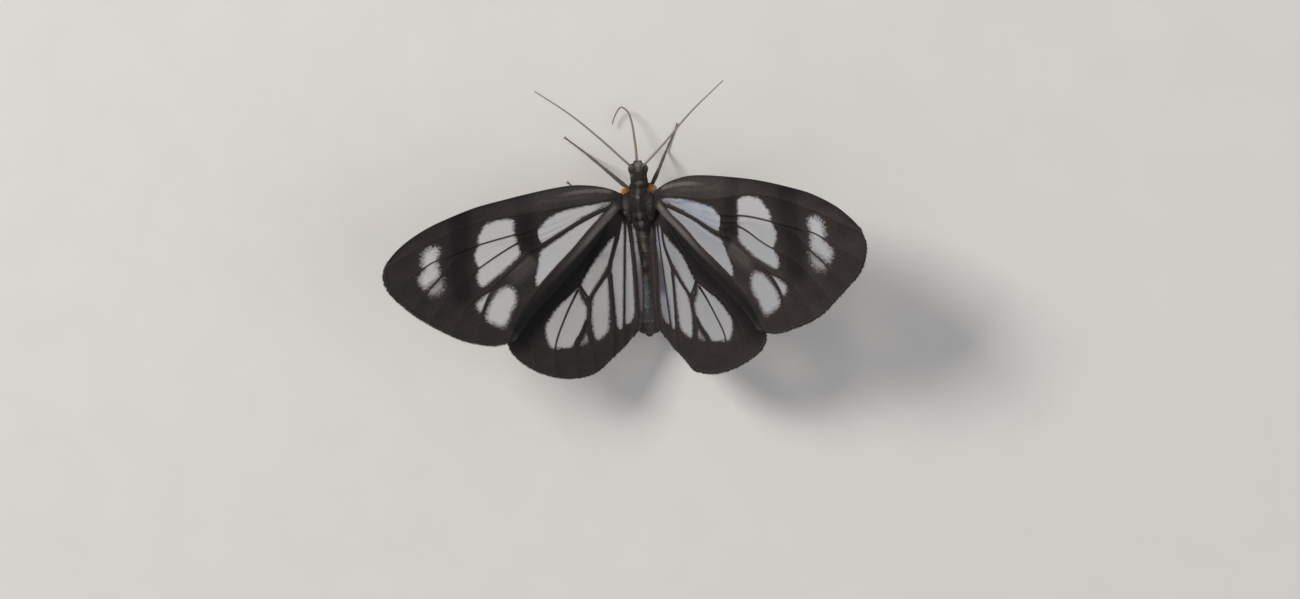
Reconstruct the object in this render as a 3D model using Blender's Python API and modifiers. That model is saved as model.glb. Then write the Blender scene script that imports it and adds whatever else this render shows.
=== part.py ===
"""A clear-winged moth, Dioptis restricta, at rest on its six feet with its wings held in a shallow V.

Life size, in metres. The head points to +Y, its right side to +X, and the feet stand on z = 0.
Each wing is drawn flat, as (out, back) millimetres from its hinge, and then laid on a curved sheet.
"""

import math

import bmesh
import bpy
from mathutils import Matrix, Vector

MM = 0.001

# Clearances between neighbouring bodies
GAP = 0.30 * MM
SMALL_GAP = 0.20 * MM

# Body, measured along the moth from the wing hinges at y = 0
THORAX_CENTRE = Vector((0.0, -0.15, 3.5)) * MM
THORAX_RADII = Vector((1.15, 1.5, 1.35)) * MM
THORAX_FRONT = 1.45 * MM
THORAX_REAR = -1.55 * MM
HEAD_CENTRE = Vector((0.0, 2.35, 3.35)) * MM
HEAD_RADII = Vector((0.58, 0.60, 0.62)) * MM
HEAD_REAR = THORAX_FRONT + GAP
EYE_OUT = 0.42 * MM
EYE_RADII = Vector((0.40, 0.42, 0.46)) * MM
EYE_INNER_FACE = 0.50 * MM
ABDOMEN_START = THORAX_REAR - GAP
ABDOMEN_END = -10.8 * MM
ABDOMEN_RADIUS = 0.70 * MM
ABDOMEN_SEGMENTS = 8
ABDOMEN_GROOVE = 0.05

# Wings
WING_HINGE = Vector((1.41, 0.0, 4.4)) * MM
WING_SLOPE_AT_HINGE = math.radians(30.6)
WING_SLOPE_LOST = math.radians(0.4) / MM
HINDWING_DROP = 0.90 * MM
HINDWING_FLAT_HEIGHT = 3.20 * MM
HINDWING_FLAT_BEND = 0.06 * MM
WING_TURN = {
    "forewing_left": 0.0,
    "forewing_right": math.radians(6.2),
    "hindwing_left": 0.0,
    "hindwing_right": math.radians(2.4),
}
WING_SPAN_SCALE = {
    "forewing_left": 0.961,
    "forewing_right": 0.966,
    "hindwing_left": 0.961,
    "hindwing_right": 1.0,
}
WING_CHORD_SCALE = {
    "forewing_left": 0.989,
    "forewing_right": 1.035,
    "hindwing_left": 0.989,
    "hindwing_right": 0.989,
}
MEMBRANE_THICKNESS = 0.50 * MM
VEIN_THICKNESS = 0.70 * MM
VEIN_HALF_WIDTH = 0.22 * MM

# Limbs and feelers
HIP_RADIUS = 0.28 * MM
KNEE_RADIUS = 0.27 * MM
ANKLE_RADIUS = 0.25 * MM
TOE_RADIUS = 0.20 * MM
FOOT_FLAT = 0.03 * MM
ANTENNA_RADIUS = 0.25 * MM
ANTENNA_TIP_RADIUS = 0.13 * MM
PROBOSCIS_RADIUS = 0.25 * MM
PROBOSCIS_TIP_RADIUS = 0.15 * MM
PALP_RADIUS = 0.20 * MM

SIDES = {"left": -1, "right": 1}


def clear_scene():
    for old in list(bpy.data.objects):
        bpy.data.objects.remove(old)


def new_collection(name, hidden=False):
    collection = bpy.data.collections.new(name)
    bpy.context.scene.collection.children.link(collection)
    collection.hide_render = hidden
    return collection


clear_scene()
PARTS = new_collection("dioptis_restricta")
CUTTERS = new_collection("cutters", hidden=True)
CENTRE = bpy.data.objects.new("moth_centre", None)
PARTS.objects.link(CENTRE)


def finish(name, colour, roughness):
    """A painted surface of one colour, for one kind of sub-part."""
    material = bpy.data.materials.new(name)
    material.use_nodes = True
    shader = material.node_tree.nodes["Principled BSDF"]
    shader.inputs["Base Color"].default_value = (*colour, 1.0)
    shader.inputs["Roughness"].default_value = roughness
    shader.inputs["Metallic"].default_value = 0.0
    return material


BLACK_SCALES = finish("black_wing_scales", (0.022, 0.018, 0.016), 0.75)
BODY_SCALES = finish("greenish_black_scales", (0.035, 0.032, 0.024), 0.80)
HEAD_SCALES = finish("grey_head_scales", (0.060, 0.055, 0.048), 0.80)
EYE_GLOSS = finish("dark_eye", (0.030, 0.015, 0.010), 0.20)
LEG_SCALES = finish("grey_brown_leg_scales", (0.110, 0.095, 0.080), 0.70)
HORN_BROWN = finish("brown_proboscis", (0.130, 0.060, 0.025), 0.45)
ORANGE_SCALES = finish("orange_scales", (0.550, 0.210, 0.030), 0.80)


def millimetres(*numbers):
    return Vector(numbers) * MM


def object_from(bm, name, collection=PARTS):
    """Stores a bmesh as a smooth object and frees it."""
    mesh = bpy.data.meshes.new(name)
    bm.to_mesh(mesh)
    bm.free()
    mesh.shade_smooth()
    made = bpy.data.objects.new(name, mesh)
    collection.objects.link(made)
    return made


def evaluated_mesh(source):
    graph = bpy.context.evaluated_depsgraph_get()
    return bpy.data.meshes.new_from_object(source.evaluated_get(graph))


def ball(centre, radii, lean=0.0, segments=20, rings=12):
    """A closed ellipsoid that may lean about its long axis, Y."""
    bm = bmesh.new()
    bmesh.ops.create_uvsphere(bm, u_segments=segments, v_segments=rings, radius=1.0)
    place = Matrix.Translation(centre) @ Matrix.Rotation(lean, 4, "Y")
    bmesh.ops.transform(bm, matrix=place @ Matrix.Diagonal((*radii, 1.0)), verts=bm.verts)
    return object_from(bm, "piece", CUTTERS)


def tube(points, radii, resolution=2):
    """A closed mesh tube through the points, from a curve whose caps are welded on."""
    curve = bpy.data.curves.new("tube", "CURVE")
    curve.dimensions = "3D"
    curve.bevel_depth = 1.0
    curve.bevel_resolution = resolution
    curve.use_fill_caps = True
    spline = curve.splines.new("POLY")
    spline.points.add(len(points) - 1)
    for target, place, radius in zip(spline.points, points, radii):
        target.co = (*place, 1.0)
        target.radius = radius
    guide = bpy.data.objects.new("tube", curve)
    CUTTERS.objects.link(guide)
    bpy.context.view_layer.update()
    bm = bmesh.new()
    bm.from_mesh(evaluated_mesh(guide))
    bpy.data.objects.remove(guide)
    bmesh.ops.remove_doubles(bm, verts=bm.verts, dist=0.001 * MM)
    bmesh.ops.recalc_face_normals(bm, faces=bm.faces)
    return object_from(bm, "piece", CUTTERS)


def keep_largest_shell(mesh):
    """Deletes every closed surface of a mesh except the one with the most faces."""
    bm = bmesh.new()
    bm.from_mesh(mesh)
    waiting = set(bm.faces)
    shells = []
    while waiting:
        front = [waiting.pop()]
        shell = list(front)
        while front:
            face = front.pop()
            near = {other for edge in face.edges for other in edge.link_faces} & waiting
            waiting -= near
            front.extend(near)
            shell.extend(near)
        shells.append(shell)
    shells.sort(key=len)
    spare = [face for shell in shells[:-1] for face in shell]
    bmesh.ops.delete(bm, geom=spare, context="FACES")
    bm.to_mesh(mesh)
    bm.free()


def combine(base, others, operation):
    """One Boolean of the base with all the others, applied, with the others then removed."""
    operands = new_collection("operands", hidden=True)
    for other in others:
        operands.objects.link(other)
        CUTTERS.objects.unlink(other)
        other.hide_render = True
        other.display_type = "WIRE"
    boolean = base.modifiers.new("boolean", "BOOLEAN")
    boolean.operation = operation
    boolean.operand_type = "COLLECTION"
    boolean.collection = operands
    boolean.solver = "EXACT"
    bpy.context.view_layer.update()
    mesh = evaluated_mesh(base)
    base.modifiers.clear()
    keep_largest_shell(mesh)
    base.data = mesh
    for other in others:
        bpy.data.objects.remove(other)
    bpy.data.collections.remove(operands)


def trim(made, point, outward):
    """Cuts a body flat at a plane and closes the cut."""
    bm = bmesh.new()
    bm.from_mesh(made.data)
    geometry = bm.verts[:] + bm.edges[:] + bm.faces[:]
    cut = bmesh.ops.bisect_plane(
        bm, geom=geometry, dist=1e-9, plane_co=point, plane_no=outward, clear_outer=True
    )
    rim = [item for item in cut["geom_cut"] if isinstance(item, bmesh.types.BMEdge)]
    bmesh.ops.edgeloop_fill(bm, edges=rim)
    bmesh.ops.recalc_face_normals(bm, faces=bm.faces)
    bm.to_mesh(made.data)
    bm.free()


def node(name, made, material):
    """Gives a finished body its name, its material and its place under the centre."""
    made.name = name
    made.data.name = name
    made.data.materials.clear()
    made.data.materials.append(material)
    made.data.shade_smooth()
    for owner in list(made.users_collection):
        owner.objects.unlink(made)
    PARTS.objects.link(made)
    made.hide_render = False
    made.parent = CENTRE
    return made


def smooth_path(points, per_span):
    """A Catmull-Rom curve through the points, with the same number of steps in each span."""
    ends = [2 * points[0] - points[1], *points, 2 * points[-1] - points[-2]]
    path = []
    for before, start, end, after in zip(ends, ends[1:], ends[2:], ends[3:]):
        for step in range(per_span):
            t = step / per_span
            path.append(
                0.5
                * (
                    2 * start
                    + (end - before) * t
                    + (2 * before - 5 * start + 4 * end - after) * t**2
                    + (3 * start - before - 3 * end + after) * t**3
                )
            )
    path.append(points[-1].copy())
    return path


def tapered(first, last, count):
    return [first + (last - first) * i / (count - 1) for i in range(count)]


# Eyes, each an ellipsoid cut flat where it faces the head


def eye_ball(sign, growth=0.0):
    centre = HEAD_CENTRE + Vector((sign * EYE_OUT, 0.03 * MM, 0.05 * MM))
    eye = ball(centre, EYE_RADII + Vector((growth, growth, growth)), segments=24, rings=16)
    trim(eye, Vector((sign * (EYE_INNER_FACE - growth), 0, 0)), Vector((-sign, 0, 0)))
    return eye


for side, sign in SIDES.items():
    node(f"eye_{side}", eye_ball(sign), EYE_GLOSS)


# Feelers, palps and proboscis, each grown from the front of the head

ANTENNA_BASE = HEAD_CENTRE + millimetres(0.33, 0.42, 0.80)
ANTENNA_BENDS = (millimetres(1.8, 1.55, 1.15), millimetres(4.0, 3.35, 2.6))
ANTENNA_REACH = {"left": millimetres(6.50, 5.60, 4.4), "right": millimetres(6.20, 5.05, 4.4)}
PALP_PATH = (
    HEAD_CENTRE + millimetres(0.30, 0.62, -0.32),
    HEAD_CENTRE + millimetres(0.30, 0.80, -0.08),
    HEAD_CENTRE + millimetres(0.27, 0.86, 0.16),
)
PROBOSCIS_PATH = (
    HEAD_CENTRE + millimetres(0.0, 0.40, -0.92),
    millimetres(-0.32, 3.50, 2.35),
    millimetres(-0.70, 4.90, 1.95),
    millimetres(-0.98, 5.95, 1.55),
    millimetres(-1.34, 6.80, 1.20),
    millimetres(-1.98, 7.40, 0.85),
    millimetres(-2.55, 6.86, 0.62),
    millimetres(-2.80, 6.21, 0.50),
)


def mirrored(point, sign):
    return Vector((sign * point.x, point.y, point.z))


def antenna_path(side):
    reach = ANTENNA_REACH[side]
    stops = [Vector((0, 0, 0)), *ANTENNA_BENDS, reach]
    return smooth_path([mirrored(ANTENNA_BASE + stop, SIDES[side]) for stop in stops], 4)


def head_sockets():
    """Bodies a little larger than what grows from the head, to be cut out of it."""
    sockets = []
    for side, sign in SIDES.items():
        sockets.append(eye_ball(sign, SMALL_GAP))
        sockets.append(tube(antenna_path(side)[:3], [ANTENNA_RADIUS + SMALL_GAP] * 3))
        palp = smooth_path([mirrored(point, sign) for point in PALP_PATH], 3)
        sockets.append(tube(palp, [PALP_RADIUS + SMALL_GAP] * len(palp)))
    mouth = smooth_path(list(PROBOSCIS_PATH), 4)[:4]
    mouth.insert(0, mouth[0] - millimetres(0, 0.25, 0))
    sockets.append(tube(mouth, [PROBOSCIS_RADIUS + SMALL_GAP] * len(mouth)))
    return sockets


for side, sign in SIDES.items():
    feeler = antenna_path(side)
    radii = tapered(ANTENNA_RADIUS, ANTENNA_TIP_RADIUS, len(feeler))
    node(f"antenna_{side}", tube(feeler, radii, resolution=1), LEG_SCALES)
    palp = smooth_path([mirrored(point, sign) for point in PALP_PATH], 3)
    node(f"palp_{side}", tube(palp, tapered(PALP_RADIUS, 0.6 * PALP_RADIUS, len(palp))), BODY_SCALES)

tongue = smooth_path(list(PROBOSCIS_PATH), 4)
tongue_radii = tapered(PROBOSCIS_RADIUS, PROBOSCIS_TIP_RADIUS, len(tongue))
node("proboscis", tube(tongue, tongue_radii), HORN_BROWN)


# Head: skull, face, crown and mouth in one body, hollowed for what it carries

head = ball(HEAD_CENTRE, HEAD_RADII, segments=24, rings=16)
face = ball(HEAD_CENTRE + millimetres(0, 0.25, -0.10), millimetres(0.42, 0.36, 0.42))
crown = ball(HEAD_CENTRE + millimetres(0, 0.0, 0.40), millimetres(0.36, 0.42, 0.27))
mouth_cone = ball(HEAD_CENTRE + millimetres(0, 0.15, -0.50), millimetres(0.34, 0.36, 0.30))
combine(head, [face, crown, mouth_cone], "UNION")
combine(head, head_sockets(), "DIFFERENCE")
trim(head, Vector((0, HEAD_REAR, 0)), Vector((0, -1, 0)))
node("head", head, HEAD_SCALES)


# Legs: hip, knee, ankle and toe of each, from where the foot stands in the pose

HIPS = {
    "foreleg": THORAX_CENTRE + millimetres(0.45, 1.12, -1.20),
    "midleg": THORAX_CENTRE + millimetres(0.58, 0.22, -1.28),
    "hindleg": THORAX_CENTRE + millimetres(0.52, -0.72, -1.22),
}
HIP_DROP = millimetres(0.22, 0.18, -0.32)
ANKLE_HEIGHT = 0.30 * MM
KNEES = {
    "foreleg_left": millimetres(-3.28, 2.72, 2.60),
    "foreleg_right": millimetres(1.45, 2.55, 2.55),
    "midleg_left": millimetres(-3.40, -0.30, 2.85),
    "midleg_right": millimetres(2.80, -0.35, 2.85),
    "hindleg_left": millimetres(-3.00, -2.20, 2.70),
    "hindleg_right": millimetres(2.40, -2.30, 2.70),
}
ANKLES = {
    "foreleg_left": (-5.15, 3.89),
    "foreleg_right": (1.45, 3.78),
    "midleg_left": (-5.20, 0.25),
    "midleg_right": (4.15, -0.15),
    "hindleg_left": (-5.20, -4.40),
    "hindleg_right": (3.90, -4.90),
}
TOES = {
    "foreleg_left": (-6.80, 5.08),
    "foreleg_right": (2.29, 5.63),
    "midleg_left": (-6.74, 1.54),
    "midleg_right": (5.35, 1.05),
    "hindleg_left": (-6.80, -6.30),
    "hindleg_right": (5.40, -6.90),
}


def rounded_corners(points, reach):
    """Replaces each inner corner with three points that round it."""
    path = [points[0]]
    for before, corner, after in zip(points, points[1:], points[2:]):
        start = corner + (before - corner).normalized() * reach
        end = corner + (after - corner).normalized() * reach
        path += [start, 0.25 * start + 0.5 * corner + 0.25 * end, end]
    return [*path, points[-1]]


def leg_path(kind, side):
    name = f"{kind}_{side}"
    sign = SIDES[side]
    hip = mirrored(HIPS[kind], sign)
    lean = KNEES[name] - hip
    trochanter = hip + Vector((sign * HIP_DROP.x, math.copysign(HIP_DROP.y, lean.y), HIP_DROP.z))
    ankle = Vector((ANKLES[name][0] * MM, ANKLES[name][1] * MM, ANKLE_HEIGHT))
    toe = Vector((TOES[name][0] * MM, TOES[name][1] * MM, TOE_RADIUS - FOOT_FLAT))
    heel = ankle.lerp(toe, 0.3)
    heel.z = ANKLE_RADIUS - 2 * FOOT_FLAT
    return rounded_corners([hip, trochanter, KNEES[name], ankle], 0.22 * MM) + [heel, toe]


def leg_radii(count):
    spans = (HIP_RADIUS, HIP_RADIUS, HIP_RADIUS, HIP_RADIUS, KNEE_RADIUS, KNEE_RADIUS, KNEE_RADIUS)
    return [*spans, *tapered(ANKLE_RADIUS, TOE_RADIUS, count - len(spans))]


hip_sockets = []
for kind in HIPS:
    for side in SIDES:
        path = leg_path(kind, side)
        leg = tube(path, leg_radii(len(path)))
        trim(leg, Vector((0, 0, 0)), Vector((0, 0, -1)))
        node(f"{kind}_{side}", leg, LEG_SCALES)
        socket = [path[0] + Vector((0, 0, 0.25 * MM)), *path[:5]]
        hip_sockets.append(tube(socket, [HIP_RADIUS + SMALL_GAP] * len(socket)))


# Thorax: barrel, collar, breast, shoulder plates and scutellum in one body

TUFT_CENTRE = millimetres(1.06, 0.86, 3.92)
TUFT_RADII = millimetres(0.33, 0.38, 0.34)


def tuft_ball(sign, growth=0.0):
    grown = TUFT_RADII + Vector((growth, growth, growth))
    return ball(mirrored(TUFT_CENTRE, sign), grown, segments=14, rings=9)


thorax = ball(THORAX_CENTRE, THORAX_RADII, segments=28, rings=18)
lobes = [
    ball(THORAX_CENTRE + millimetres(0, 1.15, 0.10), millimetres(0.80, 0.50, 0.80)),
    ball(THORAX_CENTRE + millimetres(0, 0.20, -0.75), millimetres(0.90, 1.25, 0.65)),
    ball(THORAX_CENTRE + millimetres(0, -1.02, 0.62), millimetres(0.60, 0.45, 0.50)),
]
for side, sign in SIDES.items():
    shoulder = THORAX_CENTRE + millimetres(sign * 1.0, 0.10, 0.80)
    lobes.append(ball(shoulder, millimetres(0.36, 1.02, 0.46), lean=sign * math.radians(35)))
combine(thorax, lobes, "UNION")
sockets = [tuft_ball(sign, SMALL_GAP) for sign in SIDES.values()] + hip_sockets
combine(thorax, sockets, "DIFFERENCE")
trim(thorax, Vector((0, THORAX_FRONT, 0)), Vector((0, 1, 0)))
trim(thorax, Vector((0, THORAX_REAR, 0)), Vector((0, -1, 0)))
node("thorax", thorax, BODY_SCALES)
for side, sign in SIDES.items():
    node(f"shoulder_tuft_{side}", tuft_ball(sign), ORANGE_SCALES)


# Abdomen: a ringed tube that sinks from the thorax and ends blunt


def abdomen_height(y):
    """The height of the abdomen's middle, falling quickly at first and then level."""
    level = 1.95 * MM
    fall = (2.90 - 1.95) * MM
    return level + fall * math.exp(-((ABDOMEN_START - y) / (1.9 * MM)) ** 1.5)


def abdomen_rings():
    """Places and radii, three rings to a segment, with a groove where segments meet."""
    length = ABDOMEN_START - ABDOMEN_END
    points, radii = [], []
    for segment in range(ABDOMEN_SEGMENTS):
        for within in (0.0, 0.3, 0.8):
            along = (segment + within) / ABDOMEN_SEGMENTS
            y = ABDOMEN_START - along * length
            waist = 1.0 - 0.20 * math.exp(-along * 9.0)
            end = math.sqrt(1.0 - max(0.0, (along - 0.90) / 0.105) ** 2)
            groove = 1.0 - (ABDOMEN_GROOVE if within == 0.0 else 0.0)
            points.append(Vector((0.0, y, abdomen_height(y))))
            radii.append(ABDOMEN_RADIUS * waist * end * groove)
    points.append(Vector((0.0, ABDOMEN_END, abdomen_height(ABDOMEN_END))))
    radii.append(0.25 * ABDOMEN_RADIUS)
    return points, radii


node("abdomen", tube(*abdomen_rings(), resolution=5), BODY_SCALES)


# Wing drawing: outlines and veins as (out, back) millimetres from the hinge

FOREWING_COSTA = (
    (0.35, -0.70), (1.6, -1.05), (4.0, -1.2), (7.4, -0.65), (10.5, 0.1), (14.7, 1.4),
    (16.9, 2.5), (18.3, 3.6), (19.05, 4.4),
)
FOREWING_MARGIN = (
    (19.05, 4.4), (19.5, 5.2), (19.45, 6.0), (18.8, 7.1), (17.6, 8.2), (16.2, 9.2),
    (13.5, 10.6), (10.8, 11.2), (9.0, 10.8),
)
FOREWING_INNER = ((0.35, 1.10), (2.6, 4.1), (5.2, 6.75), (7.3, 8.75), (9.0, 10.8))
HINDWING_COSTA = ((0.10, 0.95), (1.6, 1.9), (3.8, 4.0), (6.2, 6.5), (7.8, 8.3), (9.3, 10.4))
HINDWING_MARGIN = (
    (9.3, 10.4), (9.3, 11.6), (8.0, 12.9), (6.3, 13.7), (4.4, 14.0), (2.4, 13.65),
    (0.6, 12.3), (-1.1, 10.5), (-1.75, 9.8),
)
HINDWING_INNER = ((-0.80, 1.85), (-1.2, 3.4), (-1.55, 5.0), (-1.75, 7.0), (-1.75, 9.8))

# Each vein: its points, where it meets the margin from 0 at the apex to 1 at the back corner,
# how far along itself it leaves the cell, and where its ridge starts.
FOREWING_VEINS = (
    (((0.35, -0.22), (2.9, 0.3), (7.0, 1.0), (12.0, 1.9), (15.5, 3.1)), 0.04, 0.36, 0.0),
    (((0.35, -0.02), (3.0, 0.8), (7.0, 2.1), (11.8, 3.3), (15.1, 4.4), (16.4, 5.1)), 0.19, 0.37, 0.37),
    (((0.35, 0.09), (3.2, 1.2), (6.9, 2.6), (12.8, 3.8), (14.95, 5.75)), 0.35, 0.39, 0.68),
    (((0.35, 0.19), (3.4, 1.5), (6.8, 3.05), (8.6, 3.25), (11.9, 5.2), (14.2, 7.1)), 0.47, 0.42, 0.42),
    (((0.35, 0.31), (3.6, 1.8), (6.7, 3.5), (8.1, 4.2), (10.7, 6.6), (12.6, 7.8)), 0.61, 0.45, 0.0),
    (((0.35, 0.45), (3.7, 2.3), (7.0, 4.3), (10.2, 6.3), (11.6, 8.6)), 0.77, 0.48, 0.72),
    (((0.35, 0.66), (2.2, 2.05), (4.0, 3.9), (6.5, 6.3), (8.2, 8.3)), 0.95, 0.55, 0.0),
)
HINDWING_VEINS = (
    (((0.02, 1.05), (1.8, 3.3), (3.4, 6.5), (5.7, 8.5), (7.2, 10.6)), 0.26, 0.45, 0.45),
    (((-0.05, 1.15), (1.4, 3.3), (3.3, 6.8), (4.7, 9.4), (5.6, 12.0)), 0.40, 0.47, 0.47),
    (((-0.12, 1.25), (0.9, 3.4), (2.75, 7.7), (3.0, 10.0), (3.9, 12.0)), 0.52, 0.55, 0.55),
    (((-0.20, 1.33), (0.1, 2.7), (0.9, 5.5), (2.55, 7.95), (2.7, 10.0)), 0.63, 0.56, 0.0),
    (((-0.32, 1.42), (-0.1, 2.9), (0.75, 5.6), (0.8, 8.3), (0.6, 10.6)), 0.76, 0.42, 0.42),
    (((-0.45, 1.53), (-0.35, 3.5), (-0.3, 5.7), (-0.1, 10.0)), 0.85, 0.5, 0.0),
    (((-0.60, 1.66), (-0.85, 4.0), (-1.0, 7.0), (-1.15, 9.4)), 0.94, 0.5, 0.0),
)
CELL_RIDGE_VEINS = {"forewing": (0, 4), "hindwing": (1, 3)}
COLUMNS_IN_CELL = 6
COLUMNS_PAST_CELL = 9


def resampled(points, steps):
    """Points of a smooth curve at the given fractions of its length."""
    path = smooth_path([Vector((*point, 0.0)) for point in points], 12)
    lengths = [0.0]
    for start, end in zip(path, path[1:]):
        lengths.append(lengths[-1] + (end - start).length)
    found = []
    for step in steps:
        goal = step * lengths[-1]
        index = next(i for i in range(1, len(lengths)) if lengths[i] >= goal - 1e-9)
        part = (goal - lengths[index - 1]) / (lengths[index] - lengths[index - 1])
        found.append(path[index - 1].lerp(path[index], part))
    return found


def column_places():
    """Places along a row: 0 at the root, 1 at the end of the cell, 2 at the margin."""
    inner = [i / COLUMNS_IN_CELL for i in range(COLUMNS_IN_CELL)]
    beside = 0.05
    outer = [1.0 + i / COLUMNS_PAST_CELL for i in range(1, COLUMNS_PAST_CELL + 1)]
    return inner + [1.0 - beside, 1.0, 1.0 + 0.5 * beside] + outer


def row_of(points, margin_point, cell_end):
    """A row from the root to the margin whose columns line up at the end of the cell."""
    steps = []
    for place in column_places():
        if place <= 1.0:
            steps.append(place * cell_end)
        else:
            steps.append(cell_end + (place - 1.0) * (1.0 - cell_end))
    ends = [*points, margin_point]
    return resampled(ends, steps)


def wing_rows(costa, margin, inner, veins):
    """All rows of a wing from front to back, with the ridge height of every point."""
    fractions = [0.0, *(vein[1] for vein in veins), 1.0]
    margin_points = [tuple(point[:2]) for point in resampled(margin, fractions)]
    mains = [row_of(costa[:-1], margin_points[0], veins[0][2])]
    mains += [row_of(vein[0], end, vein[2]) for vein, end in zip(veins, margin_points[1:])]
    mains.append(row_of(inner[:-1], margin_points[-1], veins[-1][2]))
    rows, ridges = [], []
    places = column_places()
    for index, main in enumerate(mains):
        is_vein = 0 < index < len(mains) - 1
        if is_vein:
            rows.append(flank(main, blended(mains, index - 1, margin, fractions)))
            ridges.append([0.0] * len(places))
        rows.append(main)
        ridges.append(ridge_heights(veins[index - 1], places) if is_vein else [0.0] * len(places))
        if is_vein:
            rows.append(flank(main, blended(mains, index, margin, fractions)))
            ridges.append([0.0] * len(places))
        if index < len(mains) - 1:
            rows.append(blended(mains, index, margin, fractions))
            ridges.append([0.0] * len(places))
    return rows, ridges


def blended(mains, index, margin, fractions):
    """The row half way between two main rows, bent to end on the margin."""
    first, second = mains[index], mains[index + 1]
    middle = resampled(margin, [0.5 * (fractions[index] + fractions[index + 1])])[0]
    miss = middle - first[-1].lerp(second[-1], 0.5)
    places = column_places()
    return [
        start.lerp(end, 0.5) + miss * (place / 2.0) ** 4
        for start, end, place in zip(first, second, places)
    ]


def flank(main, neighbour):
    """The row at the foot of a ridge, beside its vein and never past the neighbouring row."""
    half_width = VEIN_HALF_WIDTH / MM
    row = []
    for point, other in zip(main, neighbour):
        away = other - point
        row.append(point + away * min(0.45, half_width / max(away.length, 1e-6)))
    return row


def ridge_heights(vein, places):
    """1 where the vein stands out and 0 in the cell, before it starts."""
    cell_end, starts = vein[2], vein[3]
    heights = []
    for place in places:
        along = place * cell_end if place <= 1.0 else cell_end + (place - 1.0) * (1.0 - cell_end)
        heights.append(1.0 if along >= starts - 1e-6 else 0.0)
    return heights


def on_sheet(point, side, kind):
    """Lays a drawn wing point on the curved sheet of its wing, in metres."""
    name = f"{kind}_{side}"
    turn = WING_TURN[name]
    span = point.x * WING_SPAN_SCALE[name] * MM
    chord = point.y * WING_CHORD_SCALE[name] * MM
    out = span * math.cos(turn) + chord * math.sin(turn)
    back = chord * math.cos(turn) - span * math.sin(turn)
    slope = WING_SLOPE_AT_HINGE - WING_SLOPE_LOST * out
    x = WING_HINGE.x + (math.sin(WING_SLOPE_AT_HINGE) - math.sin(slope)) / WING_SLOPE_LOST
    z = WING_HINGE.z + (math.cos(slope) - math.cos(WING_SLOPE_AT_HINGE)) / WING_SLOPE_LOST
    if kind == "hindwing":
        x += HINDWING_DROP * math.sin(slope)
        z -= HINDWING_DROP * math.cos(slope)
        above_flat = 0.5 * (z - HINDWING_FLAT_HEIGHT)
        z = HINDWING_FLAT_HEIGHT + above_flat + math.hypot(above_flat, HINDWING_FLAT_BEND)
    return Vector((SIDES[side] * x, WING_HINGE.y - back, z))


def wing(kind, side, costa, margin, inner, veins):
    """A wing of even thickness whose veins are thicker rows of its own surface."""
    rows, ridges = wing_rows(costa, margin, inner, veins)
    first_cell, last_cell = CELL_RIDGE_VEINS[kind]
    cell_column = COLUMNS_IN_CELL + 1
    cell_rows = range(4 * first_cell + 3, 4 * last_cell + 3)
    bm = bmesh.new()
    bmesh.ops.create_grid(bm, x_segments=len(rows[0]) - 1, y_segments=len(rows) - 1, size=0.5)
    weights = {}
    for vertex in bm.verts:
        column = round((vertex.co.x + 0.5) * (len(rows[0]) - 1))
        row = round((vertex.co.y + 0.5) * (len(rows) - 1))
        raised = ridges[row][column]
        if column == cell_column and row in cell_rows:
            raised = 1.0
        plain = MEMBRANE_THICKNESS / VEIN_THICKNESS
        weights[vertex.index] = plain + (1.0 - plain) * raised
        vertex.co = on_sheet(rows[row][column], side, kind)
    bmesh.ops.triangulate(bm, faces=bm.faces, quad_method="SHORT_EDGE")
    bmesh.ops.recalc_face_normals(bm, faces=bm.faces)
    made = object_from(bm, "sheet")
    group = made.vertex_groups.new(name="thickness")
    for index, weight in weights.items():
        group.add([index], weight, "REPLACE")
    solid = made.modifiers.new("solid", "SOLIDIFY")
    solid.thickness = VEIN_THICKNESS
    solid.offset = 0.0
    solid.vertex_group = group.name
    return node(f"{kind}_{side}", made, BLACK_SCALES)


for side in SIDES:
    wing("forewing", side, FOREWING_COSTA, FOREWING_MARGIN, FOREWING_INNER, FOREWING_VEINS)
    wing("hindwing", side, HINDWING_COSTA, HINDWING_MARGIN, HINDWING_INNER, HINDWING_VEINS)


# The centre of the moth's outline, at floor height, is the origin


def centre_on_origin():
    bpy.context.view_layer.update()
    graph = bpy.context.evaluated_depsgraph_get()
    reach = []
    for child in CENTRE.children:
        shape = child.evaluated_get(graph).to_mesh()
        reach += [vertex.co.copy() for vertex in shape.vertices]
    for axis in range(2):
        values = [point[axis] for point in reach]
        CENTRE.location[axis] = -0.5 * (min(values) + max(values))
    bpy.data.collections.remove(CUTTERS)


centre_on_origin()
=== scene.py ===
# %% [markdown]
# # A clear-winged moth at rest
#
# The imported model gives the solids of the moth. This script dresses them: thin scaled wings with
# clear windows, a furry body, faceted eyes, ringed feelers and clawed feet. Every size below is in
# millimetres in the moth's own frame, where the wings hinge at y = 0, the head points to +Y and the
# feet stand at z = 0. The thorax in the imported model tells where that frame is.

# %% The frame and the moth's own millimetres
import math

import bmesh
import bpy
import numpy as np
from mathutils import Matrix, Vector

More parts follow.
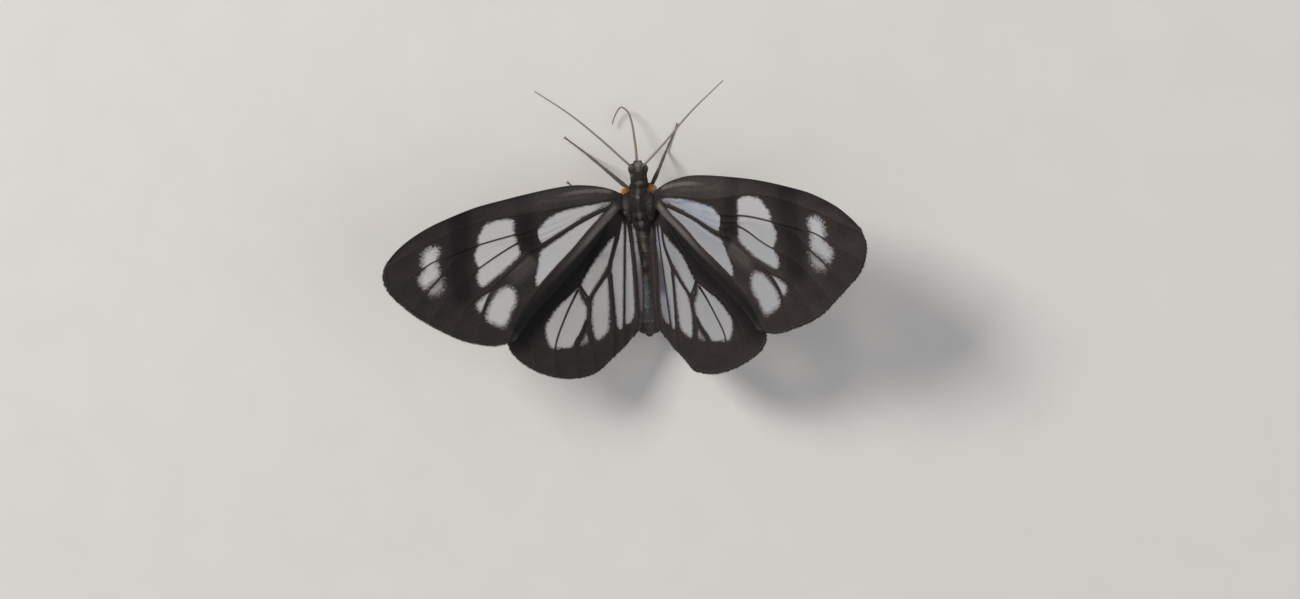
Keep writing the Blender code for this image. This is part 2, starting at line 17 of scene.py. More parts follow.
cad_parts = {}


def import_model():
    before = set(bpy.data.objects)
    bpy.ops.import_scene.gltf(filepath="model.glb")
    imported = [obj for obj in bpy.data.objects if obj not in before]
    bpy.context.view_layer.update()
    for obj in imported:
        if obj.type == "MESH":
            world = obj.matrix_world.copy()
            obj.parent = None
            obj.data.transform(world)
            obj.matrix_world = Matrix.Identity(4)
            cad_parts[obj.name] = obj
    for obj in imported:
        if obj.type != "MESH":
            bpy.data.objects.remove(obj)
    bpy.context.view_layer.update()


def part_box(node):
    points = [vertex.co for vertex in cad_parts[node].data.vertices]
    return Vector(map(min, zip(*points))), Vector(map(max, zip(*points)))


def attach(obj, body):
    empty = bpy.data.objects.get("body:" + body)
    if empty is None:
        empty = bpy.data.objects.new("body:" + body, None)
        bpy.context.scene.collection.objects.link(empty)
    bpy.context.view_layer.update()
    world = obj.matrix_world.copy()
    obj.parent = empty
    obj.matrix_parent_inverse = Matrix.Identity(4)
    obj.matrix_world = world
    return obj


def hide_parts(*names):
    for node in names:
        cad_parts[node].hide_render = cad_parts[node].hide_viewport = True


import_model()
MM = 0.001
THORAX_MIDDLE_Y = -0.05
SIDES = {"left": -1, "right": 1}
RANDOM = np.random.default_rng(7)

thorax_low, thorax_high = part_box("thorax")
OFFSET = np.array([
    0.5 * (thorax_low.x + thorax_high.x) / MM,
    0.5 * (thorax_low.y + thorax_high.y) / MM - THORAX_MIDDLE_Y,
    0.0,
])


def world(points):
    """Points of the moth in millimetres as places in the scene, in metres."""
    return (np.asarray(points, float) + OFFSET) * MM


print("moth frame offset", np.round(OFFSET, 3))

# %% [markdown]
# ## Helpers for meshes and curves
#
# Feelers, veins and window edges are all smooth lines through a few chosen points. A Catmull-Rom
# curve passes through every point, so it can be drawn by hand. Pieces are modelled with bmesh in
# millimetres, moved to their place with numpy and stored with smooth shading.

# %% Curves through points
STEPS_A_SPAN = 12


def spline(points, closed=False, per_span=STEPS_A_SPAN):
    """A dense Catmull-Rom curve through the points."""
    points = np.asarray(points, float)
    if closed:
        ends = np.vstack([points[-1:], points, points[:2]])
    else:
        ends = np.vstack([2 * points[0] - points[1], points, 2 * points[-1] - points[-2]])
    t = np.linspace(0.0, 1.0, per_span, endpoint=False)[:, None]
    spans = []
    for before, start, end, after in zip(ends, ends[1:], ends[2:], ends[3:]):
        linear = (end - before) * t
        square = (2 * before - 5 * start + 4 * end - after) * t**2
        cubic = (3 * start - before - 3 * end + after) * t**3
        spans.append(0.5 * (2 * start + linear + square + cubic))
    last = points[:1] if closed else points[-1:]
    return np.vstack([*spans, last])


def along(points, fractions, closed=False):
    """Points of the smooth curve at the given fractions of its length."""
    path = spline(points, closed)
    lengths = np.concatenate([[0.0], np.cumsum(np.linalg.norm(np.diff(path, axis=0), axis=1))])
    goal = np.asarray(fractions, float) * lengths[-1]
    return np.stack([np.interp(goal, lengths, axis) for axis in path.T], axis=-1)


def line_distance(points, line):
    """How far each point is from a line of points, and how far along the line the nearest place is."""
    starts, steps = line[:-1], np.diff(line, axis=0)
    spans = np.maximum((steps**2).sum(axis=1), 1e-12)
    best = np.full(len(points), 1e9)
    place = np.zeros(len(points))
    for index, (start, step, span) in enumerate(zip(starts, steps, spans)):
        t = np.clip((points - start) @ step / span, 0.0, 1.0)
        gap = np.linalg.norm(points - start - t[:, None] * step, axis=1)
        nearer = gap < best
        best[nearer] = gap[nearer]
        place[nearer] = (index + t[nearer]) / len(starts)
    return best, place


def depth_inside(points, outline):
    """Distance to a closed outline, positive inside it and negative outside."""
    gap, _ = line_distance(points, outline)
    inside = np.zeros(len(points), bool)
    x, y = points.T
    for (ax, ay), (bx, by) in zip(outline, outline[1:]):
        crosses = (ay > y) != (by > y)
        slope = (bx - ax) / (by - ay if by != ay else 1e-12)
        inside ^= crosses & (x < ax + (y - ay) * slope)
    return np.where(inside, gap, -gap)


def ease(value, low, high):
    """0 below low, 1 above high and smooth between."""
    t = np.clip((value - low) / (high - low), 0.0, 1.0)
    return t * t * (3.0 - 2.0 * t)


# %% Meshes and their attributes


def object_from(bm, name, points=None):
    """Stores a bmesh as a smooth object, with its vertices at the given places in metres."""
    mesh = bpy.data.meshes.new(name)
    bm.to_mesh(mesh)
    bm.free()
    if points is not None:
        mesh.vertices.foreach_set("co", np.asarray(points, np.float32).ravel())
    mesh.shade_smooth()
    made = bpy.data.objects.new(name, mesh)
    bpy.context.scene.collection.objects.link(made)
    return made


def places_in(bm):
    return np.array([vert.co[:] for vert in bm.verts])


def ball(segments, rings):
    """A ball of radius 1. Blender orders its faces anew in each run, so they are sorted here."""
    bm = bmesh.new()
    bmesh.ops.create_uvsphere(bm, u_segments=segments, v_segments=rings, radius=1.0)
    bm.verts.index_update()
    count = len(bm.verts)

    def order(face):
        first, second, third = sorted(vert.index for vert in face.verts)[:3]
        return (first * count + second) * count + third

    bm.faces.sort(key=order)
    return bm


def on_side(points, side):
    """Points given for the right side, on either side of the moth."""
    return np.asarray(points, float) * (SIDES[side], 1.0, 1.0)


def vertex_places(mesh):
    places = np.empty(len(mesh.vertices) * 3, np.float32)
    mesh.vertices.foreach_get("co", places)
    return places.reshape(-1, 3).astype(float)


def mark(mesh, name, values):
    """Stores one number, or one colour, for each vertex."""
    values = np.asarray(values, np.float32)
    if values.ndim == 1:
        mesh.attributes.new(name, "FLOAT", "POINT").data.foreach_set("value", values)
    else:
        colours = np.column_stack([values, np.ones(len(values), np.float32)])
        mesh.attributes.new(name, "FLOAT_COLOR", "POINT").data.foreach_set("color", colours.ravel())


def lay_map(mesh, name, flat):
    """A UV map that takes one flat place for each vertex."""
    corners = np.empty(len(mesh.loops), np.int32)
    mesh.loops.foreach_get("vertex_index", corners)
    layer = mesh.uv_layers.new(name=name)
    layer.data.foreach_set("uv", np.asarray(flat, np.float32)[corners].ravel())


def carry(piece, finish, slot, *nodes):
    """Makes a piece part of the moth with its finish, in place of the named solids."""
    piece.data.materials.append(finish)
    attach(piece, "root")
    if nodes:
        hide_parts(*nodes)
    print(piece.name, len(piece.data.polygons), "faces")


# %% [markdown]
# ## Helpers for materials
#
# Each finish is built from the same few nodes. These helpers add a node, set it and feed it, so that
# a material below reads as a recipe.

# %% Node helpers


def add_node(tree, kind, inputs=(), **settings):
    """Adds a node. Its inputs are fed with values or with the outputs of other nodes."""
    node = tree.nodes.new(kind)
    for key, value in settings.items():
        setattr(node, key, value)
    for key, value in dict(inputs).items():
        if isinstance(value, bpy.types.NodeSocket):
            tree.links.new(value, node.inputs[key])
        else:
            node.inputs[key].default_value = value
    return node


def new_finish(name, roughness=0.6):
    material = bpy.data.materials.new(name)
    material.use_nodes = True
    shader = material.node_tree.nodes["Principled BSDF"]
    shader.inputs["Roughness"].default_value = roughness
    return material, material.node_tree, shader


def work_out(tree, operation, first, second=0.0, third=0.0):
    inputs = {0: first, 1: second, 2: third}
    return add_node(tree, "ShaderNodeMath", inputs, operation=operation).outputs[0]


def blend_colour(tree, factor, first, second, how="MIX"):
    inputs = {0: factor, 6: first, 7: second}
    return add_node(tree, "ShaderNodeMix", inputs, data_type="RGBA", blend_type=how).outputs[2]


def step_between(tree, value, low, high, start=0.0, end=1.0):
    inputs = {0: value, 1: low, 2: high, 3: start, 4: end}
    return add_node(tree, "ShaderNodeMapRange", inputs, interpolation_type="SMOOTHSTEP").outputs[0]


def marked(tree, name, output="Fac"):
    return add_node(tree, "ShaderNodeAttribute", attribute_name=name).outputs[output]


def object_place(tree):
    return add_node(tree, "ShaderNodeTexCoord").outputs["Object"]


def raise_by(tree, shader, height, strength, depth):
    """Makes a height pattern stand out in the light, with its depth in millimetres."""
    inputs = {"Height": height, "Strength": strength, "Distance": depth * MM}
    bump = add_node(tree, "ShaderNodeBump", inputs)
    tree.links.new(bump.outputs["Normal"], shader.inputs["Normal"])


def colour(red, green, blue):
    return (red, green, blue, 1.0)


# %% [markdown]
# ## Camera, light and floor
#
# The moth sat on a wall and now sits on the floor, so the camera looks down on it. It stands 160 mm
# away, leans a little to the moth's right and is rolled slightly, as laying the left wing's marks on
# the right wing's showed. The frame of 1300 pixels covers 102 mm where the moth is. A large lamp from
# the upper left gives the photo's soft light, and a weak one fills the other side.

# %% Camera
CAMERA_LEAN = math.radians(13.2)
CAMERA_ROLL = math.radians(1.5)
CAMERA_DISTANCE = 160.0
PIXELS_PER_MM = 12.72
IMAGE_WIDTH = 1300
IMAGE_HEIGHT = 599
SENSOR_WIDTH = 36.0
AIM = np.array([0.0, -3.0, 4.0])
AIM_PIXEL = (639.7, 237.4)

away = np.array([math.sin(CAMERA_LEAN), 0.0, math.cos(CAMERA_LEAN)])
flat_right = np.array([math.cos(CAMERA_LEAN), 0.0, -math.sin(CAMERA_LEAN)])
flat_up = np.array([0.0, 1.0, 0.0])
view_right = flat_right * math.cos(CAMERA_ROLL) - flat_up * math.sin(CAMERA_ROLL)
view_up = flat_right * math.sin(CAMERA_ROLL) + flat_up * math.cos(CAMERA_ROLL)
eye = AIM + away * CAMERA_DISTANCE
middle = AIM + view_right * (0.5 * IMAGE_WIDTH - AIM_PIXEL[0]) / PIXELS_PER_MM
middle = middle - view_up * (0.5 * IMAGE_HEIGHT - AIM_PIXEL[1]) / PIXELS_PER_MM

backward = (eye - middle) / np.linalg.norm(eye - middle)
right = np.cross(view_up, backward)
right = right / np.linalg.norm(right)
turned = np.column_stack([right, np.cross(backward, right), backward])

camera_data = bpy.data.cameras.new("camera")
camera_data.sensor_width = SENSOR_WIDTH
camera_data.lens = SENSOR_WIDTH * np.linalg.norm(eye - middle) * PIXELS_PER_MM / IMAGE_WIDTH
camera_data.clip_start = 0.005
camera = bpy.data.objects.new("camera", camera_data)
camera.matrix_world = Matrix.Translation(world(eye)) @ Matrix(turned.tolist()).to_4x4()
bpy.context.scene.collection.objects.link(camera)
bpy.context.scene.camera = camera
bpy.context.scene.view_settings.view_transform = "Standard"
print("lens", round(camera_data.lens, 1), "mm")

# %% Lamps
LAMP_AIM = Vector((0.0, 0.0, 0.004))


def soft_lamp(name, place, size, power, tint):
    """A square lamp that shines on the moth."""
    data = bpy.data.lights.new(name, "AREA")
    data.size = size
    data.energy = power
    data.color = tint
    lamp = bpy.data.objects.new(name, data)
    lamp.location = place
    lamp.rotation_euler = (LAMP_AIM - lamp.location).to_track_quat("-Z", "Y").to_euler()
    bpy.context.scene.collection.objects.link(lamp)


soft_lamp("key_lamp", (-0.32, 0.26, 0.42), 0.22, 2.6, (1.0, 0.97, 0.93))
soft_lamp("fill_lamp", (0.45, -0.10, 0.35), 0.40, 0.8, (0.90, 0.95, 1.0))
studio = bpy.data.worlds.new("studio")
studio.use_nodes = True
studio.node_tree.nodes["Background"].inputs["Color"].default_value = colour(0.93, 0.95, 1.0)
studio.node_tree.nodes["Background"].inputs["Strength"].default_value = 0.45
bpy.context.scene.world = studio

# %% Floor
FLOOR_SIZE = 1.5
bm = bmesh.new()
bmesh.ops.create_grid(bm, x_segments=1, y_segments=1, size=FLOOR_SIZE)
floor = object_from(bm, "floor")
floor_finish, tree, shader = new_finish("pale_floor", 0.85)
grain_inputs = {"Vector": object_place(tree), "Scale": 220.0, "Detail": 3.0}
grain = add_node(tree, "ShaderNodeTexNoise", grain_inputs)
tone = blend_colour(tree, grain.outputs["Fac"], colour(0.60, 0.575, 0.545), colour(0.64, 0.615, 0.585))
tree.links.new(tone, shader.inputs["Base Color"])
floor.data.materials.append(floor_finish)

# %% [markdown]
# ## Wings
#
# A moth's wing is a clear membrane stretched over veins and covered with overlapping scales. Where
# the scales are missing it is a window. A flat picture could be wrapped on a plain sheet, but then
# the veins would have no relief and the windows no crisp edge. Here the sheet is a dense grid whose
# rows run along the veins, and every vertex knows how far it is from the nearest vein and window
# edge. The material turns those distances into sharp edges at any size.
#
# Both wings of a pair come from one drawing. The wings are held and bent a little differently, so a
# few soft pulls shift parts of the drawing: each has a middle, a reach and a move, out from the body
# and back.

# %% How a drawn wing lies on its curved sheet
WING_HINGE = (1.41, 0.0, 4.4)
SLOPE_AT_HINGE = math.radians(30.6)
SLOPE_LOST = math.radians(0.4)
HINDWING_DROP = 0.90
HINDWING_FLAT_HEIGHT = 3.20
HINDWING_FLAT_BEND = 0.06
WING_POSE = {
    "forewing_left": {"turn": 0.0, "span": 0.961, "chord": 0.989},
    "forewing_right": {"turn": math.radians(6.2), "span": 0.966, "chord": 1.035},
    "hindwing_left": {"turn": 0.0, "span": 0.961, "chord": 0.989},
    "hindwing_right": {"turn": math.radians(2.4), "span": 1.0, "chord": 0.989},
}
PULLS = {
    "forewing_left": (((12.4, 0.3), (2.4, 1.0), (0.0, -0.14)),),
    "forewing_right": (
        ((2.5, 1.2), (2.6, 1.3), (-0.41, -0.15)),
        ((6.2, 3.0), (2.2, 2.0), (-0.50, -0.05)),
        ((10.4, 2.0), (2.2, 1.6), (-0.80, -0.42)),
        ((10.8, 5.0), (2.4, 1.6), (-0.61, -0.01)),
        ((15.8, 4.6), (1.8, 2.2), (-0.31, -0.10)),
        ((18.4, 7.4), (2.4, 2.4), (0.27, 0.26)),
        ((14.9, 9.9), (2.2, 1.6), (0.14, 0.30)),
        ((5.0, 0.9), (1.8, 0.7), (0.0, 0.22)),
    ),
    "hindwing_right": (
        ((-1.6, 6.0), (1.1, 3.2), (0.51, -0.04)),
        ((-1.4, 10.4), (1.4, 2.4), (0.54, 0.02)),
        ((0.0, 8.6), (0.9, 3.0), (0.21, 0.05)),
        ((0.8, 3.6), (0.9, 1.8), (-0.51, -0.24)),
        ((5.4, 12.0), (3.0, 2.5), (0.21, -0.20)),
        ((0.9, 12.3), (2.0, 1.6), (0.53, 0.12)),
        ((2.8, 6.4), (1.6, 1.6), (-0.30, 0.03)),
        ((-2.25, 7.6), (0.45, 3.2), (0.28, 0.0)),
        ((8.9, 11.8), (1.5, 1.5), (0.18, 0.12)),
    ),
}


def on_sheet(drawn, name, lift):
    """Lays drawn (out, back) points on a wing's sheet, raised along its normal by lift."""
    pose = WING_POSE[name]
    pulled = drawn.copy()
    for middle, reach, move in PULLS.get(name, ()):
        nearness = np.exp(-(((drawn - middle) / reach) ** 2).sum(axis=1))
        pulled += nearness[:, None] * move
    span = pulled[:, 0] * pose["span"]
    chord = pulled[:, 1] * pose["chord"]
    out = span * math.cos(pose["turn"]) + chord * math.sin(pose["turn"])
    back = chord * math.cos(pose["turn"]) - span * math.sin(pose["turn"])
    slope = SLOPE_AT_HINGE - SLOPE_LOST * out
    x = WING_HINGE[0] + (math.sin(SLOPE_AT_HINGE) - np.sin(slope)) / SLOPE_LOST
    z = WING_HINGE[2] + (np.cos(slope) - math.cos(SLOPE_AT_HINGE)) / SLOPE_LOST
    if name.startswith("hindwing"):
        x = x + HINDWING_DROP * np.sin(slope)
        z = z - HINDWING_DROP * np.cos(slope)
        half = 0.5 * (z - HINDWING_FLAT_HEIGHT)
        z = HINDWING_FLAT_HEIGHT + half + np.hypot(half, HINDWING_FLAT_BEND)
    x = x - lift * np.sin(slope)
    z = z + lift * np.cos(slope)
    side = SIDES[name.split("_")[1]]
    return np.column_stack([side * x, WING_HINGE[1] - back, z])


# %% [markdown]
# The drawing of each wing: its front edge, outer margin and inner edge, and its veins. A vein has its
# points, the place from 0 to 1 on the margin where it ends, the fraction of its length where it leaves
# the central cell, the fraction where it starts to stand out, and its half width at root and margin.

# %% The forewing and hindwing as drawn
FOREWING = {
    "costa": (
        (0.35, -0.70), (1.6, -1.05), (4.0, -1.2), (7.4, -0.65), (10.5, 0.1), (14.7, 1.4),
        (16.9, 2.5), (18.25, 3.5), (19.0, 4.35),
    ),
    "margin": (
        (19.0, 4.35), (19.42, 5.2), (19.40, 6.1), (18.8, 7.1), (17.6, 8.2), (16.2, 9.2),
        (13.5, 10.6), (10.8, 11.2), (9.0, 10.8),
    ),
    "inner": ((0.35, 1.10), (2.6, 4.1), (5.2, 6.75), (7.3, 8.75), (9.0, 10.8)),
    "veins": (
        (((0.35, -0.22), (2.9, 0.25), (7.0, 0.80), (12.0, 1.6), (15.5, 2.9)), 0.04, 0.36, 0.0, 0.10),
        (
            ((0.35, -0.02), (3.0, 0.8), (7.0, 2.1), (11.8, 3.3), (15.1, 4.4), (16.4, 5.1)),
            0.19, 0.37, 0.37, 0.015,
        ),
        (((0.35, 0.09), (3.2, 1.2), (6.9, 2.6), (12.8, 3.8), (14.95, 5.75)), 0.35, 0.39, 0.68, 0.02),
        (
            ((0.35, 0.19), (3.4, 1.5), (6.8, 3.05), (8.6, 3.25), (11.9, 5.2), (14.2, 7.1)),
            0.47, 0.42, 0.42, 0.025,
        ),
        (((0.35, 0.31), (3.6, 1.8), (6.7, 3.5), (8.1, 4.2), (10.7, 6.6), (12.6, 7.8)), 0.61, 0.45, 0.0, 0.12),
        (((0.35, 0.45), (3.7, 2.3), (7.0, 4.3), (10.2, 6.3), (11.6, 8.6)), 0.77, 0.48, 0.72, 0.10),
        (((0.35, 0.66), (2.2, 2.05), (4.0, 3.9), (6.5, 6.3), (8.2, 8.3)), 0.95, 0.55, 0.0, 0.14),
    ),
    "root": (-0.45, 0.62),
    "base_lift": -0.15,
}
HINDWING = {
    "costa": ((0.10, 0.55), (1.6, 1.75), (3.8, 4.0), (6.2, 6.5), (7.8, 8.3), (9.3, 10.4)),
    "margin": (
        (9.3, 10.4), (9.3, 11.6), (8.0, 12.9), (6.3, 13.7), (4.4, 14.05), (2.4, 13.75),
        (0.8, 12.6), (-0.44, 11.52), (-1.19, 10.85), (-1.88, 10.25),
    ),
    "inner": (
        (-1.35, 1.75), (-1.70, 2.8), (-1.95, 4.3), (-2.20, 6.0), (-2.27, 7.4), (-2.20, 8.8), (-1.88, 10.25),
    ),
    "veins": (
        (((0.02, 1.05), (1.8, 3.3), (3.4, 6.5), (5.7, 8.5), (7.2, 10.6)), 0.26, 0.45, 0.45, 0.075),
        (((-0.05, 1.15), (1.4, 3.3), (3.4, 6.8), (4.7, 9.2), (5.6, 11.6)), 0.40, 0.47, 0.49, 0.05),
        (
            ((-0.12, 1.25), (1.0, 3.4), (2.74, 7.9), (2.78, 8.7), (2.92, 9.6), (3.4, 10.6), (3.9, 11.5)),
            0.52, 0.55, 0.66, 0.12,
        ),
        (
            ((-0.20, 1.33), (0.15, 3.1), (0.68, 4.74), (0.90, 5.50), (1.66, 6.58), (2.60, 7.82),
             (2.62, 8.7), (2.75, 9.6), (2.67, 10.6)),
            0.63, 0.45, 0.0, 0.15,
        ),
        (
            ((-0.32, 1.42), (0.05, 3.1), (0.58, 4.74), (0.78, 5.55), (0.74, 7.2), (0.65, 8.8), (0.60, 10.0)),
            0.76, 0.42, 0.42, 0.15,
        ),
        (((-0.50, 1.53), (-0.62, 2.4), (-0.53, 3.8), (-0.45, 6.0), (-0.33, 9.4)), 0.85, 0.5, 0.0, 0.04),
        (
            ((-0.66, 1.62), (-0.98, 2.1), (-1.19, 3.4), (-1.38, 5.0), (-1.50, 6.6), (-1.58, 9.3)),
            0.94, 0.5, 0.0, 0.15,
        ),
    ),
    "root": (-1.10, 0.90),
    "base_lift": 0.15,
}
CELL_END_VEINS = {"forewing": ((7.0, 1.2), (7.05, 2.6), (6.7, 3.5)), "hindwing": ((3.4, 6.7), (2.62, 7.85))}
WINGS = {"forewing": FOREWING, "hindwing": HINDWING}


def round_corner(wing):
    """Runs the front edge and the margin into one another as one curve."""
    corner = STEPS_A_SPAN * (len(wing["costa"]) - 1)
    kept = STEPS_A_SPAN // 2
    rim = spline((*wing["costa"], *wing["margin"][1:]))
    wing["costa"] = [tuple(point) for point in rim[: corner + 1 : kept]]
    wing["margin"] = [tuple(point) for point in rim[corner::kept]]


for wing in WINGS.values():
    round_corner(wing)

# %% Rows along the veins, close together beside them
COLUMNS = 150
ROWS_BETWEEN = 22
BESIDE_VEIN = (0.05, 0.10, 0.17)
MARGIN_PULL_POWER = 4


def row_places(cell_end):
    """Fractions along a row, so that every row has the same columns inside the cell."""
    places = np.linspace(0.0, 2.0, COLUMNS)
    return np.where(places < 1.0, places * cell_end, cell_end + (places - 1.0) * (1.0 - cell_end))


def sunk(points, wing):
    """A row that starts inside the thorax, so that no gap shows at the hinge."""
    root_out, narrowing = wing["root"]
    first = points[0]
    middle_back = 0.5 * (wing["costa"][0][1] + wing["inner"][0][1])
    return ((root_out, middle_back + narrowing * (first[1] - middle_back)), *points)


def wing_grid(wing):
    """Drawn places of all rows from front to back, and how far each row is between two veins."""
    fractions = np.array([0.0, *(vein[1] for vein in wing["veins"]), 1.0])
    ends = along(wing["margin"], fractions)
    cell_ends = [wing["veins"][0][2], *(vein[2] for vein in wing["veins"]), wing["veins"][-1][2]]
    lines = [wing["costa"][:-1], *(vein[0] for vein in wing["veins"]), wing["inner"][:-1]]
    mains = [
        along((*sunk(line, wing), tuple(end)), row_places(cell_end))
        for line, end, cell_end in zip(lines, ends, cell_ends)
    ]
    pull = (np.linspace(0.0, 1.0, COLUMNS) ** MARGIN_PULL_POWER)[:, None]
    rows, between = [], []
    even = np.arange(ROWS_BETWEEN) / ROWS_BETWEEN
    for index in range(len(mains) - 1):
        first, second = mains[index], mains[index + 1]
        width = np.maximum(np.linalg.norm(second - first, axis=1), 1e-6)
        shares = np.tile(even[:, None], (1, COLUMNS))
        for beside, reach in enumerate(BESIDE_VEIN, start=1):
            shares[beside] = np.minimum(reach / width, even[beside])
            shares[-beside] = 1.0 - shares[beside]
        count = len(BESIDE_VEIN)
        inner = np.linspace(0.0, 1.0, ROWS_BETWEEN - 2 * count + 1)[1:-1, None]
        shares[count + 1 : -count] = shares[count] + inner * (shares[-count] - shares[count])
        for share in shares:
            row = first + (second - first) * share[:, None]
            place = fractions[index] + share[-1] * (fractions[index + 1] - fractions[index])
            rows.append(row + (along(wing["margin"], [place])[0] - row[-1]) * pull)
            between.append(share)
    rows.append(mains[-1])
    between.append(np.zeros(COLUMNS))
    return np.array(rows), np.array(between)


print("forewing rows", wing_grid(FOREWING)[0].shape)

# %% [markdown]
# The windows, drawn on the left wing. Scales thin out towards the outer edge of a window, so each
# outline has its own softness, and two faint ones are only half cleared. Paler streaks and deeper
# black bands lie on the scales between the windows, each with a half width and a strength.

# %% Windows: outline, softness in millimetres and clearness
FOREWING_WINDOWS = (
    (
        ((1.0, 0.2), (2.9, 0.4), (4.8, 0.8), (6.1, 1.4), (6.7, 2.0), (7.0, 2.5), (6.6, 3.3),
         (5.0, 2.6), (3.6, 1.6), (2.2, 0.9)),
        0.16, 1.0,
    ),
    (
        ((0.8, 0.2), (2.2, 1.1), (3.6, 1.9), (5.0, 2.8), (6.3, 3.6), (6.8, 4.1), (7.0, 5.2),
         (7.2, 6.0), (7.1, 6.7), (6.5, 6.3), (5.4, 5.1), (4.0, 3.8), (2.2, 1.9)),
        0.16, 1.0,
    ),
    (
        ((8.9, 1.4), (10.0, 1.35), (11.2, 1.75), (11.8, 2.7), (11.85, 3.3), (12.15, 4.2), (11.9, 5.1),
         (12.0, 5.9), (11.6, 6.6), (10.3, 5.75), (8.85, 4.6), (8.4, 4.0), (8.65, 3.1), (8.85, 2.3)),
        0.20, 1.0,
    ),
    (((12.1, 7.8), (10.8, 6.9), (11.5, 8.5), (11.9, 8.5)), 0.24, 0.78),
    (
        ((10.7, 7.3), (9.8, 6.6), (9.0, 6.8), (8.8, 7.7), (9.3, 8.8), (9.9, 9.8), (10.6, 9.6),
         (11.3, 9.2), (11.3, 8.5)),
        0.32, 1.0,
    ),
    (
        ((14.9, 3.5), (15.6, 3.3), (16.3, 3.8), (16.5, 4.6), (16.4, 5.1), (16.75, 5.8), (16.5, 6.4),
         (16.1, 6.6), (14.95, 5.7), (15.05, 4.9), (15.0, 4.2)),
        0.36, 0.90,
    ),
    (((14.75, 5.75), (14.6, 6.5), (14.95, 7.05), (15.7, 7.25), (16.0, 6.9), (15.9, 6.4)), 0.42, 0.56),
)
HINDWING_WINDOWS = (
    (
        ((0.36, 2.95), (1.42, 4.04), (2.48, 5.36), (3.25, 6.69), (3.05, 7.33), (2.63, 7.66), (1.83, 6.57),
         (1.12, 5.4), (0.62, 4.4)),
        0.17, 1.0,
    ),
    (
        ((3.70, 6.92), (4.6, 7.75), (5.5, 8.6), (6.3, 9.8), (6.3, 10.8), (5.9, 11.6), (5.2, 11.65),
         (4.1, 11.5), (3.1, 9.9), (2.85, 8.9), (2.95, 8.3), (3.25, 7.75), (3.47, 7.2)),
        0.20, 1.0,
    ),
    (((2.97, 10.6), (2.81, 11.1), (3.08, 11.4), (3.45, 11.45), (3.24, 11.0)), 0.26, 0.58),
    (
        ((1.05, 6.1), (1.93, 6.97), (2.34, 7.9), (2.46, 9.1), (2.37, 10.5), (2.05, 11.1), (1.53, 10.9),
         (0.99, 10.2), (0.91, 8.75), (0.91, 7.2)),
        0.22, 0.92,
    ),
    (
        ((-0.40, 1.7), (0.02, 3.04), (0.35, 4.0), (0.64, 5.25), (0.63, 6.4), (0.45, 8.0), (0.31, 9.8),
         (0.09, 10.3), (-0.18, 10.0), (-0.30, 8.0), (-0.43, 5.0), (-0.55, 2.4)),
        0.17, 1.0,
    ),
    (
        ((-0.66, 1.8), (-0.54, 5.0), (-0.43, 8.0), (-0.42, 9.8), (-0.84, 9.8), (-1.29, 9.1), (-1.31, 8.0),
         (-1.25, 6.0), (-1.12, 4.0), (-0.90, 2.1)),
        0.19, 0.95,
    ),
    (
        ((-1.27, 1.40), (-1.40, 3.1), (-1.53, 4.4), (-1.68, 5.8), (-1.80, 7.2), (-1.90, 8.7), (-2.12, 8.7),
         (-2.17, 7.2), (-2.10, 5.8), (-1.90, 4.4), (-1.66, 2.8), (-1.49, 1.50)),
        0.18, 0.85,
    ),
)
WINDOWS = {"forewing": FOREWING_WINDOWS, "hindwing": HINDWING_WINDOWS}
PALE_STREAKS = {
    "forewing": (
        (((0.4, -0.62), (1.7, -0.74), (3.2, -0.70), (4.6, -0.5), (7.0, -0.1)), 0.16, 0.77),
        (((1.5, -0.4), (4.6, -0.15), (6.8, 0.1), (10.0, 0.6)), 0.22, 0.22),
        (((0.15, 0.2), (0.84, 1.11), (1.75, 2.0), (2.65, 2.95), (4.1, 4.4), (7.0, 7.1)), 0.24, 0.77),
        (((7.2, 4.4), (8.5, 5.5), (9.8, 6.7)), 0.60, 0.26),
        (((0.4, -0.5), (4.0, -0.6), (8.0, 0.2), (12.0, 1.3)), 0.80, 0.15),
    ),
    "hindwing": (),
}
BLACK_BANDS = {
    "forewing": (
        (((8.1, 0.0), (7.9, 1.8), (7.6, 3.6)), 0.75, 0.8),
        (((13.2, 1.4), (13.3, 3.4), (13.5, 5.2), (13.2, 7.2)), 0.85, 0.8),
        (((1.2, 2.2), (4.4, 5.7), (7.6, 8.8), (8.6, 9.9)), 0.62, 1.0),
    ),
    "hindwing": ((((2.0, 3.2), (3.6, 4.8), (6.4, 7.8), (8.4, 10.0)), 1.40, 1.0),),
}


def soft_band(points, bands):
    """The strongest of some soft bands along drawn lines."""
    found = np.zeros(len(points))
    for line, half_width, strength in bands:
        gap, place = line_distance(points, spline(line))
        fading = ease(place, 0.0, 0.12) * (1.0 - ease(place, 0.55, 1.0)) if strength < 0.78 else 1.0
        found = np.maximum(found, fading * strength * (1.0 - ease(gap, 0.3 * half_width, 1.7 * half_width)))
    return found


# %% [markdown]
# A vein narrows towards the margin. The veins at the end of the central cell and the wing's own rim
# count as veins too, and the distance to the nearest of them all is what the sheet and its finish use.

# %% Distances to veins and windows, for every vertex
VEIN_TAPER = 0.55
VEIN_STEPS = 60
CELL_END_HALF_WIDTH = 0.06
RIM_HALF_WIDTH = 0.05
WINDOW_STEPS = 8
FAR_AWAY = 50.0


